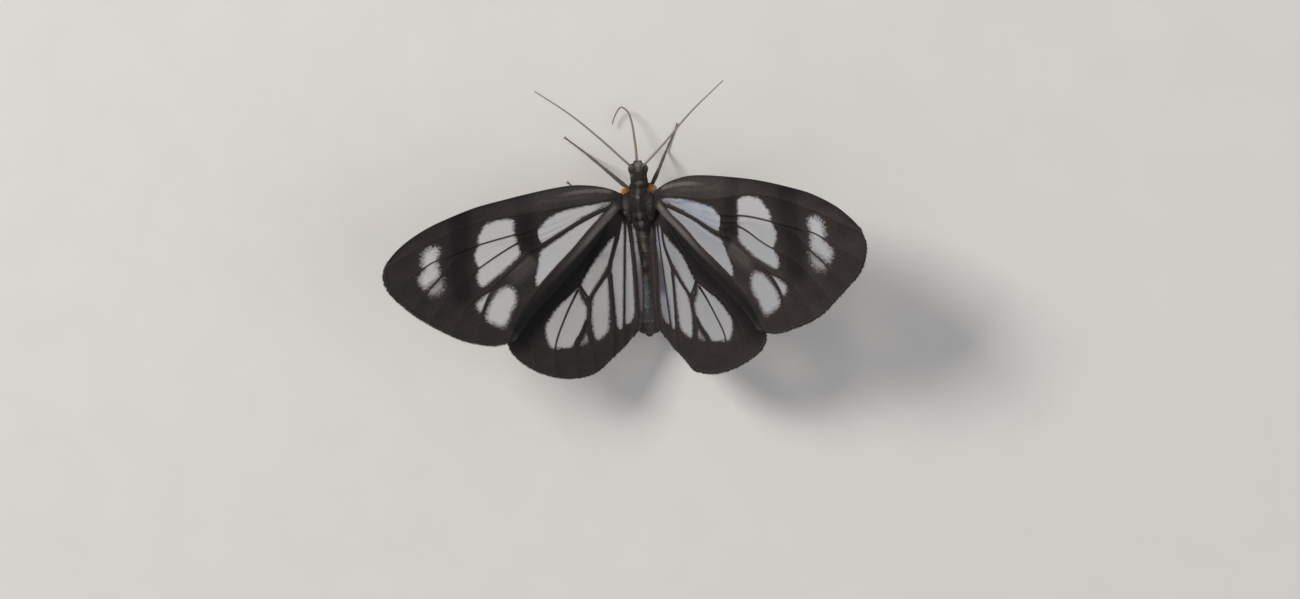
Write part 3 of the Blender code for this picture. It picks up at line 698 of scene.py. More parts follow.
def vein_edge(points, wing, kind):
    """Distance to the edge of the nearest vein, negative on the vein."""
    ends = along(wing["margin"], [vein[1] for vein in wing["veins"]])
    nearest = np.full(len(points), FAR_AWAY)
    for (line, _, _, starts, half_width), end in zip(wing["veins"], ends):
        shape = along((*line, tuple(end)), np.linspace(starts, 1.0, VEIN_STEPS))
        gap, place = line_distance(points, shape)
        nearest = np.minimum(nearest, gap - half_width * (1.0 - VEIN_TAPER * place))
    gap, _ = line_distance(points, spline(CELL_END_VEINS[kind]))
    nearest = np.minimum(nearest, gap - CELL_END_HALF_WIDTH)
    edge = np.vstack([spline(wing["costa"]), spline(wing["margin"])])
    gap, _ = line_distance(points, edge)
    return np.minimum(nearest, gap - RIM_HALF_WIDTH)


def window_depth(points, windows):
    """Depth inside the nearest window in units of its softness, and how clear that window is."""
    deepest = np.full(len(points), -FAR_AWAY)
    clear = np.zeros(len(points))
    for outline, softness, clearness in windows:
        depth = depth_inside(points, spline(outline, closed=True, per_span=WINDOW_STEPS)) / softness
        nearer = depth > deepest
        deepest[nearer] = depth[nearer]
        clear[nearer] = clearness
    return deepest, clear


# %% [markdown]
# The wing's finish. Scales are rows of tiny overlapping plates, about 0.1 mm long, so their pattern is
# a stretched cell texture on the wing's own map, which also jags the windows' edges. The membrane is
# thin, so it is partly see-through, glossy and faintly bluish where the light glances off it.

# %% Scale pattern, shared by every scaled surface


def scale_pattern():
    """A node group: overlapping scales as a height, and a random shade for each scale."""
    group = bpy.data.node_groups.new("overlapping_scales", "ShaderNodeTree")
    group.interface.new_socket("Place", in_out="INPUT", socket_type="NodeSocketVector")
    group.interface.new_socket("Size", in_out="INPUT", socket_type="NodeSocketFloat")
    group.interface.new_socket("Height", in_out="OUTPUT", socket_type="NodeSocketFloat")
    group.interface.new_socket("Shade", in_out="OUTPUT", socket_type="NodeSocketFloat")
    source = add_node(group, "NodeGroupInput")
    cells = add_node(
        group, "ShaderNodeTexVoronoi",
        {"Vector": source.outputs["Place"], "Scale": source.outputs["Size"], "Randomness": 0.75},
    )
    spread = add_node(group, "ShaderNodeSeparateColor", {0: cells.outputs["Color"]}).outputs[0]
    height = work_out(group, "SUBTRACT", 1.0, cells.outputs["Distance"])
    add_node(group, "NodeGroupOutput", {"Height": height, "Shade": spread})
    return group


SCALES = scale_pattern()


def add_scales(tree, place, size):
    return add_node(tree, "ShaderNodeGroup", {"Place": place, "Size": size}, node_tree=SCALES)


# %% Wing material
MAP_MM = 25.0
FRAYING = 0.9
DARK_SCALES, DUSTY_SCALES = colour(0.021, 0.017, 0.0155), colour(0.038, 0.030, 0.0275)
BLACK_SCALES, PALE_SCALES = colour(0.0075, 0.0065, 0.0065), colour(0.175, 0.152, 0.138)
# The bluish membrane colour is a painted sheen.
GREY_MEMBRANE, BLUE_SHEEN_MEMBRANE = colour(0.46, 0.445, 0.43), colour(0.38, 0.42, 0.52)
# The dark bluish membrane colour and its cover are painted shade next to the abdomen.
SHADED_MEMBRANE, BROWN_EDGE = colour(0.050, 0.052, 0.066), colour(0.055, 0.034, 0.036)
CLEARNESS, SHADE_COVER = 0.38, 0.35
SCALED_ROUGHNESS, CLEAR_ROUGHNESS = 0.62, 0.30


def wing_finish():
    material, tree, shader = new_finish("scaled_wing", 0.5)
    flat = add_node(tree, "ShaderNodeUVMap", uv_map="wing_map").outputs["UV"]
    stretched = add_node(
        tree, "ShaderNodeMapping", {"Vector": flat, "Scale": (MAP_MM, 2.0 * MAP_MM, 1.0)}
    ).outputs["Vector"]
    scales = add_scales(tree, stretched, 7.0)
    cloud = add_node(tree, "ShaderNodeTexNoise", {"Vector": stretched, "Scale": 0.5, "Detail": 4.0})
    shade, height = scales.outputs["Shade"], scales.outputs["Height"]

    frayed = work_out(tree, "MULTIPLY_ADD", shade, FRAYING, -0.5 * FRAYING)
    depth = work_out(tree, "ADD", marked(tree, "window"), frayed)
    bare = work_out(tree, "MULTIPLY", step_between(tree, depth, -0.8, 1.5), marked(tree, "clear"))
    beside_vein = step_between(tree, marked(tree, "vein"), -0.02, 0.12)
    bare = work_out(tree, "MULTIPLY", bare, beside_vein)

    dark = blend_colour(tree, cloud.outputs["Fac"], DARK_SCALES, DUSTY_SCALES)
    black = blend_colour(tree, marked(tree, "black"), dark, BLACK_SCALES)
    pale = blend_colour(tree, marked(tree, "pale"), black, PALE_SCALES)
    uneven = step_between(tree, shade, 0.0, 1.0, 0.0, 0.5)
    varied = blend_colour(tree, uneven, pale, colour(0.5, 0.48, 0.46), "MULTIPLY")
    # Painted bluish sheen mixed into the grey membrane.
    sheened_membrane = blend_colour(tree, marked(tree, "blue"), GREY_MEMBRANE, BLUE_SHEEN_MEMBRANE)
    # Painted shade next to the abdomen darkens the membrane.
    membrane = blend_colour(tree, marked(tree, "painted_abdomen_shade"), sheened_membrane, SHADED_MEMBRANE)
    tinted = blend_colour(tree, step_between(tree, bare, 0.0, 0.9), BROWN_EDGE, membrane)
    finish_colour = blend_colour(tree, step_between(tree, bare, 0.0, 0.25), varied, tinted)
    tree.links.new(finish_colour, shader.inputs["Base Color"])
    clearing = step_between(tree, bare, 0.0, 1.0, 1.0, CLEARNESS)
    # The painted shade also makes the membrane less see-through.
    veiled = work_out(tree, "MULTIPLY_ADD", marked(tree, "painted_abdomen_shade"), SHADE_COVER, clearing)
    tree.links.new(veiled, shader.inputs["Alpha"])
    rough = step_between(tree, bare, 0.0, 1.0, SCALED_ROUGHNESS, CLEAR_ROUGHNESS)
    tree.links.new(rough, shader.inputs["Roughness"])
    tree.links.new(work_out(tree, "MULTIPLY", bare, 0.35), shader.inputs["Coat Weight"])
    shader.inputs["Specular IOR Level"].default_value = 0.12
    shader.inputs["Coat Roughness"].default_value = 0.18
    scaled_height = work_out(tree, "MULTIPLY", height, work_out(tree, "SUBTRACT", 1.0, bare))
    raise_by(tree, shader, scaled_height, 0.35, 0.02)
    return material


WING_FINISH = wing_finish()

# %% [markdown]
# The clear membrane isn't the same everywhere. A bluish sheen is painted on it near the right wing's
# base and beside the abdomen, painted shade darkens it next to the abdomen, and the inner edge of the
# right hindwing is furry. Each of these is a share from 0 to 1 at a place out from the body and back,
# so the finish only has to mix it in.

# %% Tones of the membrane


def painted_blue_sheen(name, points):
    """A painted bluish sheen on the membrane, near the right wing's base and beside the abdomen."""
    out, back = points.T
    if name == "forewing_right":
        return 0.25 + 0.75 * ease(out - back, 0.5, 3.5) * (1.0 - ease(out, 5.0, 8.5))
    if name == "forewing_left":
        return 0.40 * (1.0 - ease(np.abs(out - 6.0), 0.5, 1.6))
    if name == "hindwing_right":
        return 0.25 + 0.65 * (1.0 - ease(out, -0.8, -0.2)) * (1.0 - 0.8 * ease(back, 7.4, 8.6))
    return 0.15 * (1.0 - ease(out, -0.4, 0.9))


def painted_abdomen_shade(name, points):
    """Painted shade that darkens the membrane next to the abdomen, bluish and deeper further back."""
    out, back = points.T
    if name.startswith("forewing"):
        return np.zeros(len(points))
    inner = 1.0 - ease(out, -1.55, -1.25)
    if name == "hindwing_right":
        strip = (1.0 - ease(np.abs(out + 0.95), 0.34, 0.62)) * (1.0 - ease(back, 7.0, 8.6))
        veil = (0.30 + 0.16 * ease(back, 7.4, 8.6)) * (1.0 - ease(out, -0.3, 0.3)) * ease(back, 4.0, 6.0)
        veil = np.maximum(veil, 0.10)
        return np.maximum(veil, np.maximum(0.9 * inner, strip * (0.30 + 0.62 * ease(back, 3.4, 5.2))))
    return (0.20 + 0.65 * ease(back, 3.4, 6.4)) * inner


def scaled_over(name, points):
    """Where the right hindwing's inner edge is furry instead of clear."""
    if name != "hindwing_right":
        return np.zeros(len(points))
    root = 1.0 - ease(points[:, 1], 1.9, 2.5)
    return np.maximum(root, 0.8 * (1.0 - ease(points[:, 0], -1.5, -1.3)))


# %% [markdown]
# Each wing is a flat grid, welded from the start. Every vertex finds its place in the drawing from its
# row and column, and is then laid on the curved sheet. The membrane sags between the veins and
# ripples at the margin, and Solidify gives it a thickness that is larger on the veins.

# %% Build the four wings
MEMBRANE = 0.05
VEIN_BODY = 0.15
THICKNESS_STEPS = 20
SAG = 0.07
RIPPLE = 0.05
RIPPLE_PER_MM = 2.3
RIMS = {}


def give_thickness(made, raised):
    """A thin sheet with thicker veins, in steps from the membrane to the full vein."""
    group = made.vertex_groups.new(name="thickness")
    plain = MEMBRANE / VEIN_BODY
    steps = np.rint((plain + (1.0 - plain) * raised) * THICKNESS_STEPS) / THICKNESS_STEPS
    for value in np.unique(steps):
        group.add(np.flatnonzero(steps == value).tolist(), float(value), "REPLACE")
    solid = made.modifiers.new("thickness", "SOLIDIFY")
    solid.thickness = VEIN_BODY * MM
    solid.offset = 0.0
    solid.vertex_group = group.name


def mark_wing(mesh, kind, name, drawn, edge):
    """Stores what the finish needs to know at each vertex."""
    depth, clear = window_depth(drawn, WINDOWS[kind])
    mark(mesh, "window", np.clip(depth, -8.0, 8.0))
    mark(mesh, "clear", clear * (1.0 - scaled_over(name, drawn)))
    mark(mesh, "vein", np.clip(edge, -0.3, 0.6))
    mark(mesh, "pale", soft_band(drawn, PALE_STREAKS[kind]))
    mark(mesh, "black", soft_band(drawn, BLACK_BANDS[kind]))
    # The blue share is a painted sheen.
    mark(mesh, "blue", painted_blue_sheen(name, drawn))
    # Painted shade next to the abdomen.
    mark(mesh, "painted_abdomen_shade", painted_abdomen_shade(name, drawn))
    lay_map(mesh, "wing_map", drawn / MAP_MM)


def build_wing(kind, side):
    name, wing = f"{kind}_{side}", WINGS[kind]
    rows, between = wing_grid(wing)
    bm = bmesh.new()
    bmesh.ops.create_grid(bm, x_segments=COLUMNS - 1, y_segments=len(rows) - 1, size=0.5)
    made = object_from(bm, f"wing_{name}")
    mesh = made.data
    grid = vertex_places(mesh)
    column = np.rint((grid[:, 0] + 0.5) * (COLUMNS - 1)).astype(int)
    row = np.rint((grid[:, 1] + 0.5) * (len(rows) - 1)).astype(int)
    drawn = rows[row, column]

    edge = vein_edge(drawn, wing, kind)
    place = column / (COLUMNS - 1)
    raised = (1.0 - ease(edge, -0.06, 0.10)) * (1.0 - 0.75 * ease(place, 0.55, 0.85))
    sag = SAG * np.sin(math.pi * between[row, column]) * ease(place, 0.05, 0.5)
    ripple = RIPPLE * np.sin(drawn[:, 1] * RIPPLE_PER_MM + drawn[:, 0]) * ease(place, 0.7, 1.0)
    laid = on_sheet(drawn, name, wing["base_lift"] - sag + ripple)
    mesh.vertices.foreach_set("co", world(laid).astype(np.float32).ravel())
    mark_wing(mesh, kind, name, drawn, edge)
    if SIDES[side] < 0:
        mesh.flip_normals()
    give_thickness(made, raised)
    carry(made, WING_FINISH, "black_wing_scales", name)
    by_row = np.argsort(row * COLUMNS + column).reshape(len(rows), COLUMNS)
    RIMS[name] = (laid[by_row[:, -1]], laid[by_row[:, -4]], drawn[by_row[:, -1]])


for side in SIDES:
    for kind in WINGS:
        build_wing(kind, side)

# %% [markdown]
# ## Body under the coat
#
# Head, thorax and abdomen are one soft shape under the scales. It could be carved from one ball, but
# its lobes are easier to place one by one: each is a stretched sphere, and the abdomen is a tube. A
# voxel remesh then wraps one closed skin round them all, and smoothing melts the creases. The skin
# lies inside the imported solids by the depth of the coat. The remesh works in millimetres, because its
# smallest voxel would be too coarse in metres.

# %% Tubes
TUBE_LAYER = "along"
TUBE_CAP = ((0.45, 0.85), (0.72, 0.45), (0.80, 0.0))


def unit(vectors):
    return vectors / np.maximum(np.linalg.norm(vectors, axis=-1, keepdims=True), 1e-9)


def turned_sides(path):
    """For each point of a path, two directions across it that turn as little as possible."""
    tangents = np.gradient(path, axis=0)
    tangents /= np.linalg.norm(tangents, axis=1)[:, None]
    side = np.cross(tangents[0], (0.0, 0.0, 1.0))
    if np.linalg.norm(side) < 0.1:
        side = np.array([1.0, 0.0, 0.0])
    sides = []
    for tangent in tangents:
        side = side - tangent * (side @ tangent)
        side = side / np.linalg.norm(side)
        sides.append(side)
    sides = np.array(sides)
    return sides, np.cross(sides, tangents)


def add_tube(bm, path, radii, around=10, flatness=1.0):
    """Adds a closed tube through the points, from a grid rolled up and welded, in millimetres."""
    first_step = unit(path[0] - path[1]) * radii[0]
    last_step = unit(path[-1] - path[-2]) * radii[-1]
    caps = np.array(TUBE_CAP)
    start = path[0] + first_step * caps[::-1, :1]
    end = path[-1] + last_step * caps[:, :1]
    reach = np.concatenate([radii[0] * caps[::-1, 1], radii, radii[-1] * caps[:, 1]])
    sides, ups = turned_sides(path)
    path = np.vstack([start, path, end])
    steps = np.linalg.norm(np.diff(path, axis=0), axis=1)
    lengths = np.concatenate([[0.0], np.cumsum(steps)])
    repeats = [1 + len(caps), *[1] * (len(sides) - 2), 1 + len(caps)]
    sides, ups = np.repeat(sides, repeats, axis=0), np.repeat(ups, repeats, axis=0)
    turn = np.linspace(0.0, 2.0 * math.pi, around + 1)[None, :, None]
    ring = np.cos(turn) * sides[:, None] + flatness * np.sin(turn) * ups[:, None]
    places = path[:, None] + reach[:, None, None] * ring
    layer = bm.verts.layers.float.get(TUBE_LAYER) or bm.verts.layers.float.new(TUBE_LAYER)
    rings = len(path)
    made = bmesh.ops.create_grid(bm, x_segments=rings - 1, y_segments=around, size=0.5)["verts"]
    for vert in made:
        ring_index = round((vert.co.x + 0.5) * (rings - 1))
        turn_index = round((vert.co.y + 0.5) * around)
        vert.co = places[ring_index, turn_index]
        vert[layer] = lengths[ring_index]
    bmesh.ops.remove_doubles(bm, verts=made, dist=1e-5)


def finished_tubes(bm, name):
    """Turns all faces outwards and moves the tubes from millimetres to their place."""
    bmesh.ops.recalc_face_normals(bm, faces=bm.faces)
    return object_from(bm, name, world(places_in(bm)))


def single_tube(name, path, radii, around, flatness=1.0):
    """One closed tube as a piece of its own."""
    bm = bmesh.new()
    add_tube(bm, path, radii, around, flatness)
    return finished_tubes(bm, name)


# %% The lobes of the body: centre, radii and lean
COAT_DEPTH = 0.12
THORAX = np.array([0.0, -0.15, 3.5])
HEAD = np.array([-0.14, 2.37, 3.35])
ABDOMEN_START = -1.85
ABDOMEN_END = -10.72
ABDOMEN_RADIUS = 0.71
ABDOMEN_SEGMENTS = 8
LEVEL_HEIGHT, FRONT_RISE = 1.95, 0.95
DROP_LENGTH, DROP_POWER = 1.9, 1.5
BENT_ASIDE, BEND_LENGTH = 0.13, 5.5
FRONT_SWELL, SLIM_MIDDLE, REAR_SWELL = (0.12, 0.12, 0.18), (0.05, 0.5, 0.25), (0.22, 0.95, 0.07)
END_STARTS, END_REACH, END_POWER = 0.930, 0.071, 7.0
TEGULA_LEAN = math.radians(35)
HIPS = {
    "foreleg": THORAX + (0.45, 1.12, -1.20),
    "midleg": THORAX + (0.58, 0.22, -1.28),
    "hindleg": THORAX + (0.52, -0.72, -1.22),
}
TRUNK_LOBES = (
    (THORAX, (1.15, 1.5, 1.35)),
    (THORAX + (0.0, 1.15, 0.10), (0.86, 0.60, 0.84)),
    (THORAX + (0.0, 0.20, -0.75), (0.90, 1.25, 0.65)),
    (THORAX + (0.0, -1.02, 0.62), (0.66, 0.50, 0.50)),
    (THORAX + (0.06, -1.60, -0.02), (0.76, 0.85, 0.80)),
)
HEAD_LOBES = (
    ((0.0, 0.0, 0.0), (0.60, 0.58, 0.60)),
    ((0.0, 0.16, -0.10), (0.44, 0.36, 0.44)),
    ((0.0, 0.0, 0.40), (0.44, 0.46, 0.29)),
    ((0.0, 0.15, -0.50), (0.34, 0.36, 0.30)),
)
SIDE_LOBES = (
    (THORAX + (0.84, -0.06, 0.66), (0.46, 0.88, 0.46), TEGULA_LEAN),
    (THORAX + (1.03, -0.14, 0.46), (0.50, 0.76, 0.42), TEGULA_LEAN),
    (THORAX + (0.75, -0.80, 0.10), (0.48, 0.68, 0.58), 0.0),
)
HEAD_LEAN = math.radians(15)


def on_head(offsets):
    """Places on the head, which leans a little to the moth's left, from offsets to its middle."""
    x, y, z = np.asarray(offsets, float).reshape(-1, 3).T
    leaning = np.column_stack([
        x * math.cos(HEAD_LEAN) + z * math.sin(HEAD_LEAN),
        y,
        z * math.cos(HEAD_LEAN) - x * math.sin(HEAD_LEAN),
    ])
    return (HEAD + leaning).reshape(np.shape(offsets))


def down_abdomen(y):
    """0 at the front of the abdomen and 1 at its end."""
    return (ABDOMEN_START - y) / (ABDOMEN_START - ABDOMEN_END)


def abdomen_middle(y):
    """The middle of the abdomen, which sinks quickly at first and then runs level."""
    back = np.maximum(ABDOMEN_START - y, 0.0)
    height = LEVEL_HEIGHT + FRONT_RISE * np.exp(-((back / DROP_LENGTH) ** DROP_POWER))
    return np.column_stack([BENT_ASIDE * ease(ABDOMEN_START - y, 0.0, BEND_LENGTH), y, height])


def hump(place, height, middle, reach):
    return height * np.exp(-(((place - middle) / reach) ** 2))


def abdomen_radius(y):
    """Widest in front, slimmer past the middle and round at the end."""
    place = np.clip(down_abdomen(y), 0.0, 1.0)
    waist = hump(place, *SLIM_MIDDLE) - hump(place, *REAR_SWELL)
    past = np.maximum(0.0, place - END_STARTS) / END_REACH
    end = np.sqrt(np.clip(1.0 - past**END_POWER, 0.0, 1.0))
    return ABDOMEN_RADIUS * (1.0 + hump(place, *FRONT_SWELL) - waist) * end


def add_lobe(bm, centre, radii, lean=0.0):
    place = Matrix.Translation(centre) @ Matrix.Rotation(lean, 4, "Y")
    shrunk = [radius - COAT_DEPTH for radius in radii]
    place = place @ Matrix.Diagonal((*shrunk, 1.0))
    bmesh.ops.create_uvsphere(bm, u_segments=40, v_segments=24, radius=1.0, matrix=place)


# %% One skin
SKIN_VOXEL = 0.045
SKIN_SMOOTHING = 7
NECK, NECK_RADIUS = np.linspace(HEAD, THORAX + (0.0, 1.1, 0.0), 6), 0.61
WAIST, WAIST_RADIUS = np.linspace(THORAX, (0.0, ABDOMEN_START - 0.6, 2.75), 6), 0.60
HIP_RADII = (0.42, 0.42, 0.46)
ABDOMEN_COAT = 0.05
SEGMENT_STEP = 0.06


def wrapped(bm, voxel, smoothing):
    """One closed, smoothed skin round everything in a bmesh."""
    rough = object_from(bm, "rough_body")
    remesh = rough.modifiers.new("skin", "REMESH")
    remesh.mode = "VOXEL"
    remesh.voxel_size = voxel
    graph = bpy.context.evaluated_depsgraph_get()
    bm = bmesh.new()
    bm.from_mesh(rough.evaluated_get(graph).to_mesh())
    bpy.data.objects.remove(rough)
    for _ in range(smoothing):
        bmesh.ops.smooth_vert(
            bm, verts=bm.verts, factor=0.5, use_axis_x=True, use_axis_y=True, use_axis_z=True
        )
    return bm


def ringed(points):
    """Draws the front of each abdomen segment in, under the rear edge of the one before it."""
    y = points[:, 1]
    segment = down_abdomen(y) * ABDOMEN_SEGMENTS
    phase = np.mod(segment, 1.0)
    drawn_in = (1.0 - ease(phase, 0.0, 0.30)) * ease(phase, -0.01, 0.05)
    drawn_in = SEGMENT_STEP * drawn_in * ease(segment, 0.4, 0.9) * (1.0 - ease(segment, 7.6, 7.9))
    return points + (abdomen_middle(y) - points) * drawn_in[:, None] / ABDOMEN_RADIUS


bm = bmesh.new()
for centre, radii in TRUNK_LOBES:
    add_lobe(bm, centre, radii)
for offset, radii in HEAD_LOBES:
    add_lobe(bm, on_head(offset), radii, HEAD_LEAN)
for side, sign in SIDES.items():
    for centre, radii, lean in SIDE_LOBES:
        add_lobe(bm, on_side(centre, side), radii, sign * lean)
    for hip in HIPS.values():
        add_lobe(bm, on_side(hip, side), HIP_RADII)
add_tube(bm, NECK, np.full(len(NECK), NECK_RADIUS), 20)
add_tube(bm, WAIST, np.full(len(WAIST), WAIST_RADIUS), 20)
abdomen_y = np.linspace(ABDOMEN_START + 0.3, ABDOMEN_END + ABDOMEN_COAT, 180)
abdomen_reach = np.maximum(abdomen_radius(abdomen_y - 0.04) - ABDOMEN_COAT, 0.02)
add_tube(bm, abdomen_middle(abdomen_y), abdomen_reach, 32)
bm = wrapped(bm, SKIN_VOXEL, SKIN_SMOOTHING)
skin_places = ringed(places_in(bm))
SKIN = object_from(bm, "moth_skin", world(skin_places))

# %% [markdown]
# Marks of the body. The same function colours the skin and the coat on it, so a gap between two tufts
# never shows another colour. Each mark is a soft spot with a middle, a reach along each axis and a
# colour, painted one over the other. The thorax is greenish black with a thin pale line, a pale spot
# and dusty shoulder plates, and the abdomen has a broken line of pale marks. The abdomen's olive brown
# and one pale mark on its back are made lighter as painted light, against the shade of the thorax and
# the wings.

# %% Marks
GREEN_BLACK = (0.031, 0.0245, 0.0215)
# Olive brown of the abdomen, made lighter as painted light against the shade of the thorax and wings.
OLIVE_BROWN_AND_PAINTED_LIGHT = (0.072, 0.060, 0.049)
SOFT_MARKS = (
    ((0.1, -6.6, 2.2), (1.5, 5.6, 1.5), OLIVE_BROWN_AND_PAINTED_LIGHT, 1.0),
    ((0.0, 0.0, 1.9), (1.6, 2.4, 1.1), (0.060, 0.052, 0.042), 0.9),
    ((0.0, -6.6, 1.1), (0.9, 5.2, 0.75), (0.110, 0.098, 0.076), 0.9),
    ((1.20, -0.3, 4.1), (0.62, 1.5, 1.0), (0.058, 0.041, 0.036), 1.0),
    ((-1.20, -0.3, 4.1), (0.62, 1.5, 1.0), (0.058, 0.041, 0.036), 1.0),
    ((-0.92, -0.35, 4.6), (0.20, 0.60, 0.6), (0.125, 0.110, 0.098), 0.75),
    ((0.98, 0.00, 4.6), (0.15, 0.60, 0.6), (0.085, 0.082, 0.078), 0.70),
    ((-0.88, -0.80, 4.5), (0.17, 0.20, 0.6), (0.180, 0.165, 0.125), 0.85),
    ((0.90, -0.85, 4.5), (0.15, 0.20, 0.6), (0.085, 0.080, 0.066), 0.6),
    ((0.04, 0.78, 4.7), (0.16, 0.75, 0.6), (0.115, 0.104, 0.108), 0.80),
    ((0.08, -0.60, 4.7), (0.10, 0.80, 0.6), (0.068, 0.062, 0.058), 0.60),
    ((0.08, 0.32, 4.8), (0.13, 0.15, 0.5), (0.250, 0.240, 0.240), 0.95),
    ((0.15, -1.50, 4.0), (0.15, 0.95, 1.0), (0.150, 0.140, 0.125), 0.75),
    ((0.10, 1.38, 4.4), (0.30, 0.22, 0.7), (0.200, 0.180, 0.130), 0.9),
    ((0.10, -2.60, 3.4), (0.20, 0.80, 0.5), (0.120, 0.112, 0.096), 0.70),
    ((0.10, -3.65, 3.0), (0.18, 0.60, 0.5), (0.165, 0.146, 0.098), 0.85),
    ((0.05, -5.10, 2.8), (0.18, 0.42, 0.4), (0.210, 0.190, 0.185), 0.85),
    ((0.10, -7.70, 2.6), (0.70, 2.60, 0.7), (0.150, 0.138, 0.135), 0.90),
    # Pale line on the abdomen's back, brightened as painted light against the shade between the wings.
    ((0.08, -7.45, 2.7), (0.26, 1.70, 0.5), (0.380, 0.380, 0.400), 0.90),
    ((0.06, -9.40, 2.7), (0.20, 0.80, 0.4), (0.150, 0.142, 0.148), 0.8),
    ((0.06, -5.55, 2.7), (0.60, 0.22, 0.5), (0.060, 0.048, 0.042), 0.80),
    ((0.07, -6.02, 2.7), (0.20, 0.13, 0.4), (0.480, 0.360, 0.220), 0.95),
    ((0.0, -10.3, 2.1), (1.0, 0.75, 1.0), (0.056, 0.048, 0.045), 0.8),
    ((0.0, 2.05, 3.9), (0.55, 0.42, 0.7), (0.042, 0.032, 0.023), 0.9),
    ((-0.02, 2.70, 3.80), (0.30, 0.40, 0.6), (0.250, 0.225, 0.210), 0.9),
    ((-0.16, 2.95, 3.10), (0.42, 0.34, 0.6), (0.170, 0.148, 0.135), 0.8),
    ((-0.47, 2.02, 3.72), (0.15, 0.13, 0.4), (0.240, 0.235, 0.220), 0.9),
)


def body_marks(points):
    """The linear colour of the body at each point, in the moth's millimetres."""
    colours = np.tile(GREEN_BLACK, (len(points), 1))
    for middle, reach, tint, strength in SOFT_MARKS:
        away_from = np.linalg.norm((points - middle) / reach, axis=1)
        share = strength * (1.0 - ease(away_from, 0.45, 1.25))
        colours = colours + share[:, None] * (np.array(tint) - colours)
    return colours


mark(SKIN.data, "marks", body_marks(skin_places))

# %% [markdown]
# The skin shows between the tufts, so it carries the same short flat scales as a pattern, about
# 0.09 mm long and drawn out from front to back, with the marks' colour under them.

# %% Skin finish
BODY_SCALE = 1.0 / (0.09 * MM)


def skin_finish(name, depth):
    """Short flat scales on a skin, coloured by the marks stored in it."""
    material, tree, shader = new_finish(name, 0.68)
    stretching = {"Vector": object_place(tree), "Scale": (1.0, 0.5, 1.0)}
    stretched = add_node(tree, "ShaderNodeMapping", stretching).outputs["Vector"]
    scales = add_scales(tree, stretched, BODY_SCALE)
    uneven = step_between(tree, scales.outputs["Shade"], 0.0, 1.0, 0.0, 0.6)
    marks = marked(tree, "marks", "Color")
    base = blend_colour(tree, uneven, marks, colour(0.45, 0.43, 0.42), "MULTIPLY")
    tree.links.new(base, shader.inputs["Base Color"])
    raise_by(tree, shader, scales.outputs["Height"], 0.8, depth)
    shader.inputs["Specular IOR Level"].default_value = 0.25
    return material


carry(SKIN, skin_finish("scaled_body", 0.03), "greenish_black_scales", "head", "thorax", "abdomen")

# %% [markdown]
# ## Coat
#
# A moth's fur is made of long, narrow scales. Hair particles would be lost in the export, so each
# tuft is a small solid blade: a three-sided cone cut into bands, widest below its middle. Numpy copies
# it to thousands of places on the skin, turned along the lie of the coat, with its own length, tilt
# and shade. Every tuft is also a tiny patch at its root's place on the unrolled skin.

# %% One tuft
TUFT_LEVELS = (0.35, 0.75)
TUFT_WIDTHS = (0.6, 1.0, 0.75, 0.0)


def tuft_shape():
    """Across, up and along for each vertex of a blade, with its faces."""
    bm = bmesh.new()
    bmesh.ops.create_cone(bm, cap_ends=True, segments=3, radius1=1.0, radius2=0.0, depth=1.0)
    bmesh.ops.translate(bm, vec=(0.0, 0.0, 0.5), verts=bm.verts)
    bmesh.ops.remove_doubles(bm, verts=bm.verts, dist=1e-4)
    for level in TUFT_LEVELS:
        geometry = bm.verts[:] + bm.edges[:] + bm.faces[:]
        bmesh.ops.bisect_plane(bm, geom=geometry, plane_co=(0.0, 0.0, level), plane_no=(0.0, 0.0, 1.0))
    bm.verts.ensure_lookup_table()
    bm.verts.index_update()
    shape = places_in(bm)
    faces = [[vert.index for vert in face.verts] for face in bm.faces]
    bm.free()
    narrowing = np.maximum(1.0 - shape[:, 2], 1e-6)
    shape[:, :2] /= narrowing[:, None]
    shape[:, :2] *= np.interp(shape[:, 2], (0.0, *TUFT_LEVELS, 1.0), TUFT_WIDTHS)[:, None]
    return shape, faces


TUFT, TUFT_FACES = tuft_shape()
ACROSS, RISE, ALONG = (TUFT[:, index][None, :, None] for index in range(3))
print("tuft", len(TUFT), "vertices", len(TUFT_FACES), "faces")

# %% Places for tufts


def everywhere(points):
    return np.ones(len(points))


def scatter(mesh, count, chance):
    """Random places on a mesh and their normals, denser where the chance is higher."""
    mesh.calc_loop_triangles()
    corners = np.empty(len(mesh.loop_triangles) * 3, np.int32)
    mesh.loop_triangles.foreach_get("vertices", corners)
    corners = corners.reshape(-1, 3)
    normals = np.empty(len(mesh.vertices) * 3, np.float32)
    mesh.vertices.foreach_get("normal", normals)
    normals = normals.reshape(-1, 3)
    places = vertex_places(mesh) / MM - OFFSET
    first, second, third = (places[corners[:, index]] for index in range(3))
    area = np.linalg.norm(np.cross(second - first, third - first), axis=1)
    weight = area * chance((first + second + third) / 3.0)
    picked = RANDOM.choice(len(corners), count, p=weight / weight.sum())
    shares = np.sqrt(RANDOM.random((count, 1))), RANDOM.random((count, 1))
    parts = (1.0 - shares[0], shares[0] * (1.0 - shares[1]), shares[0] * shares[1])
    roots = sum(part * places[corners[picked, index]] for index, part in enumerate(parts))
    facing = sum(part * normals[corners[picked, index]] for index, part in enumerate(parts))
    return roots, unit(facing)


# %% Finish of the tufts


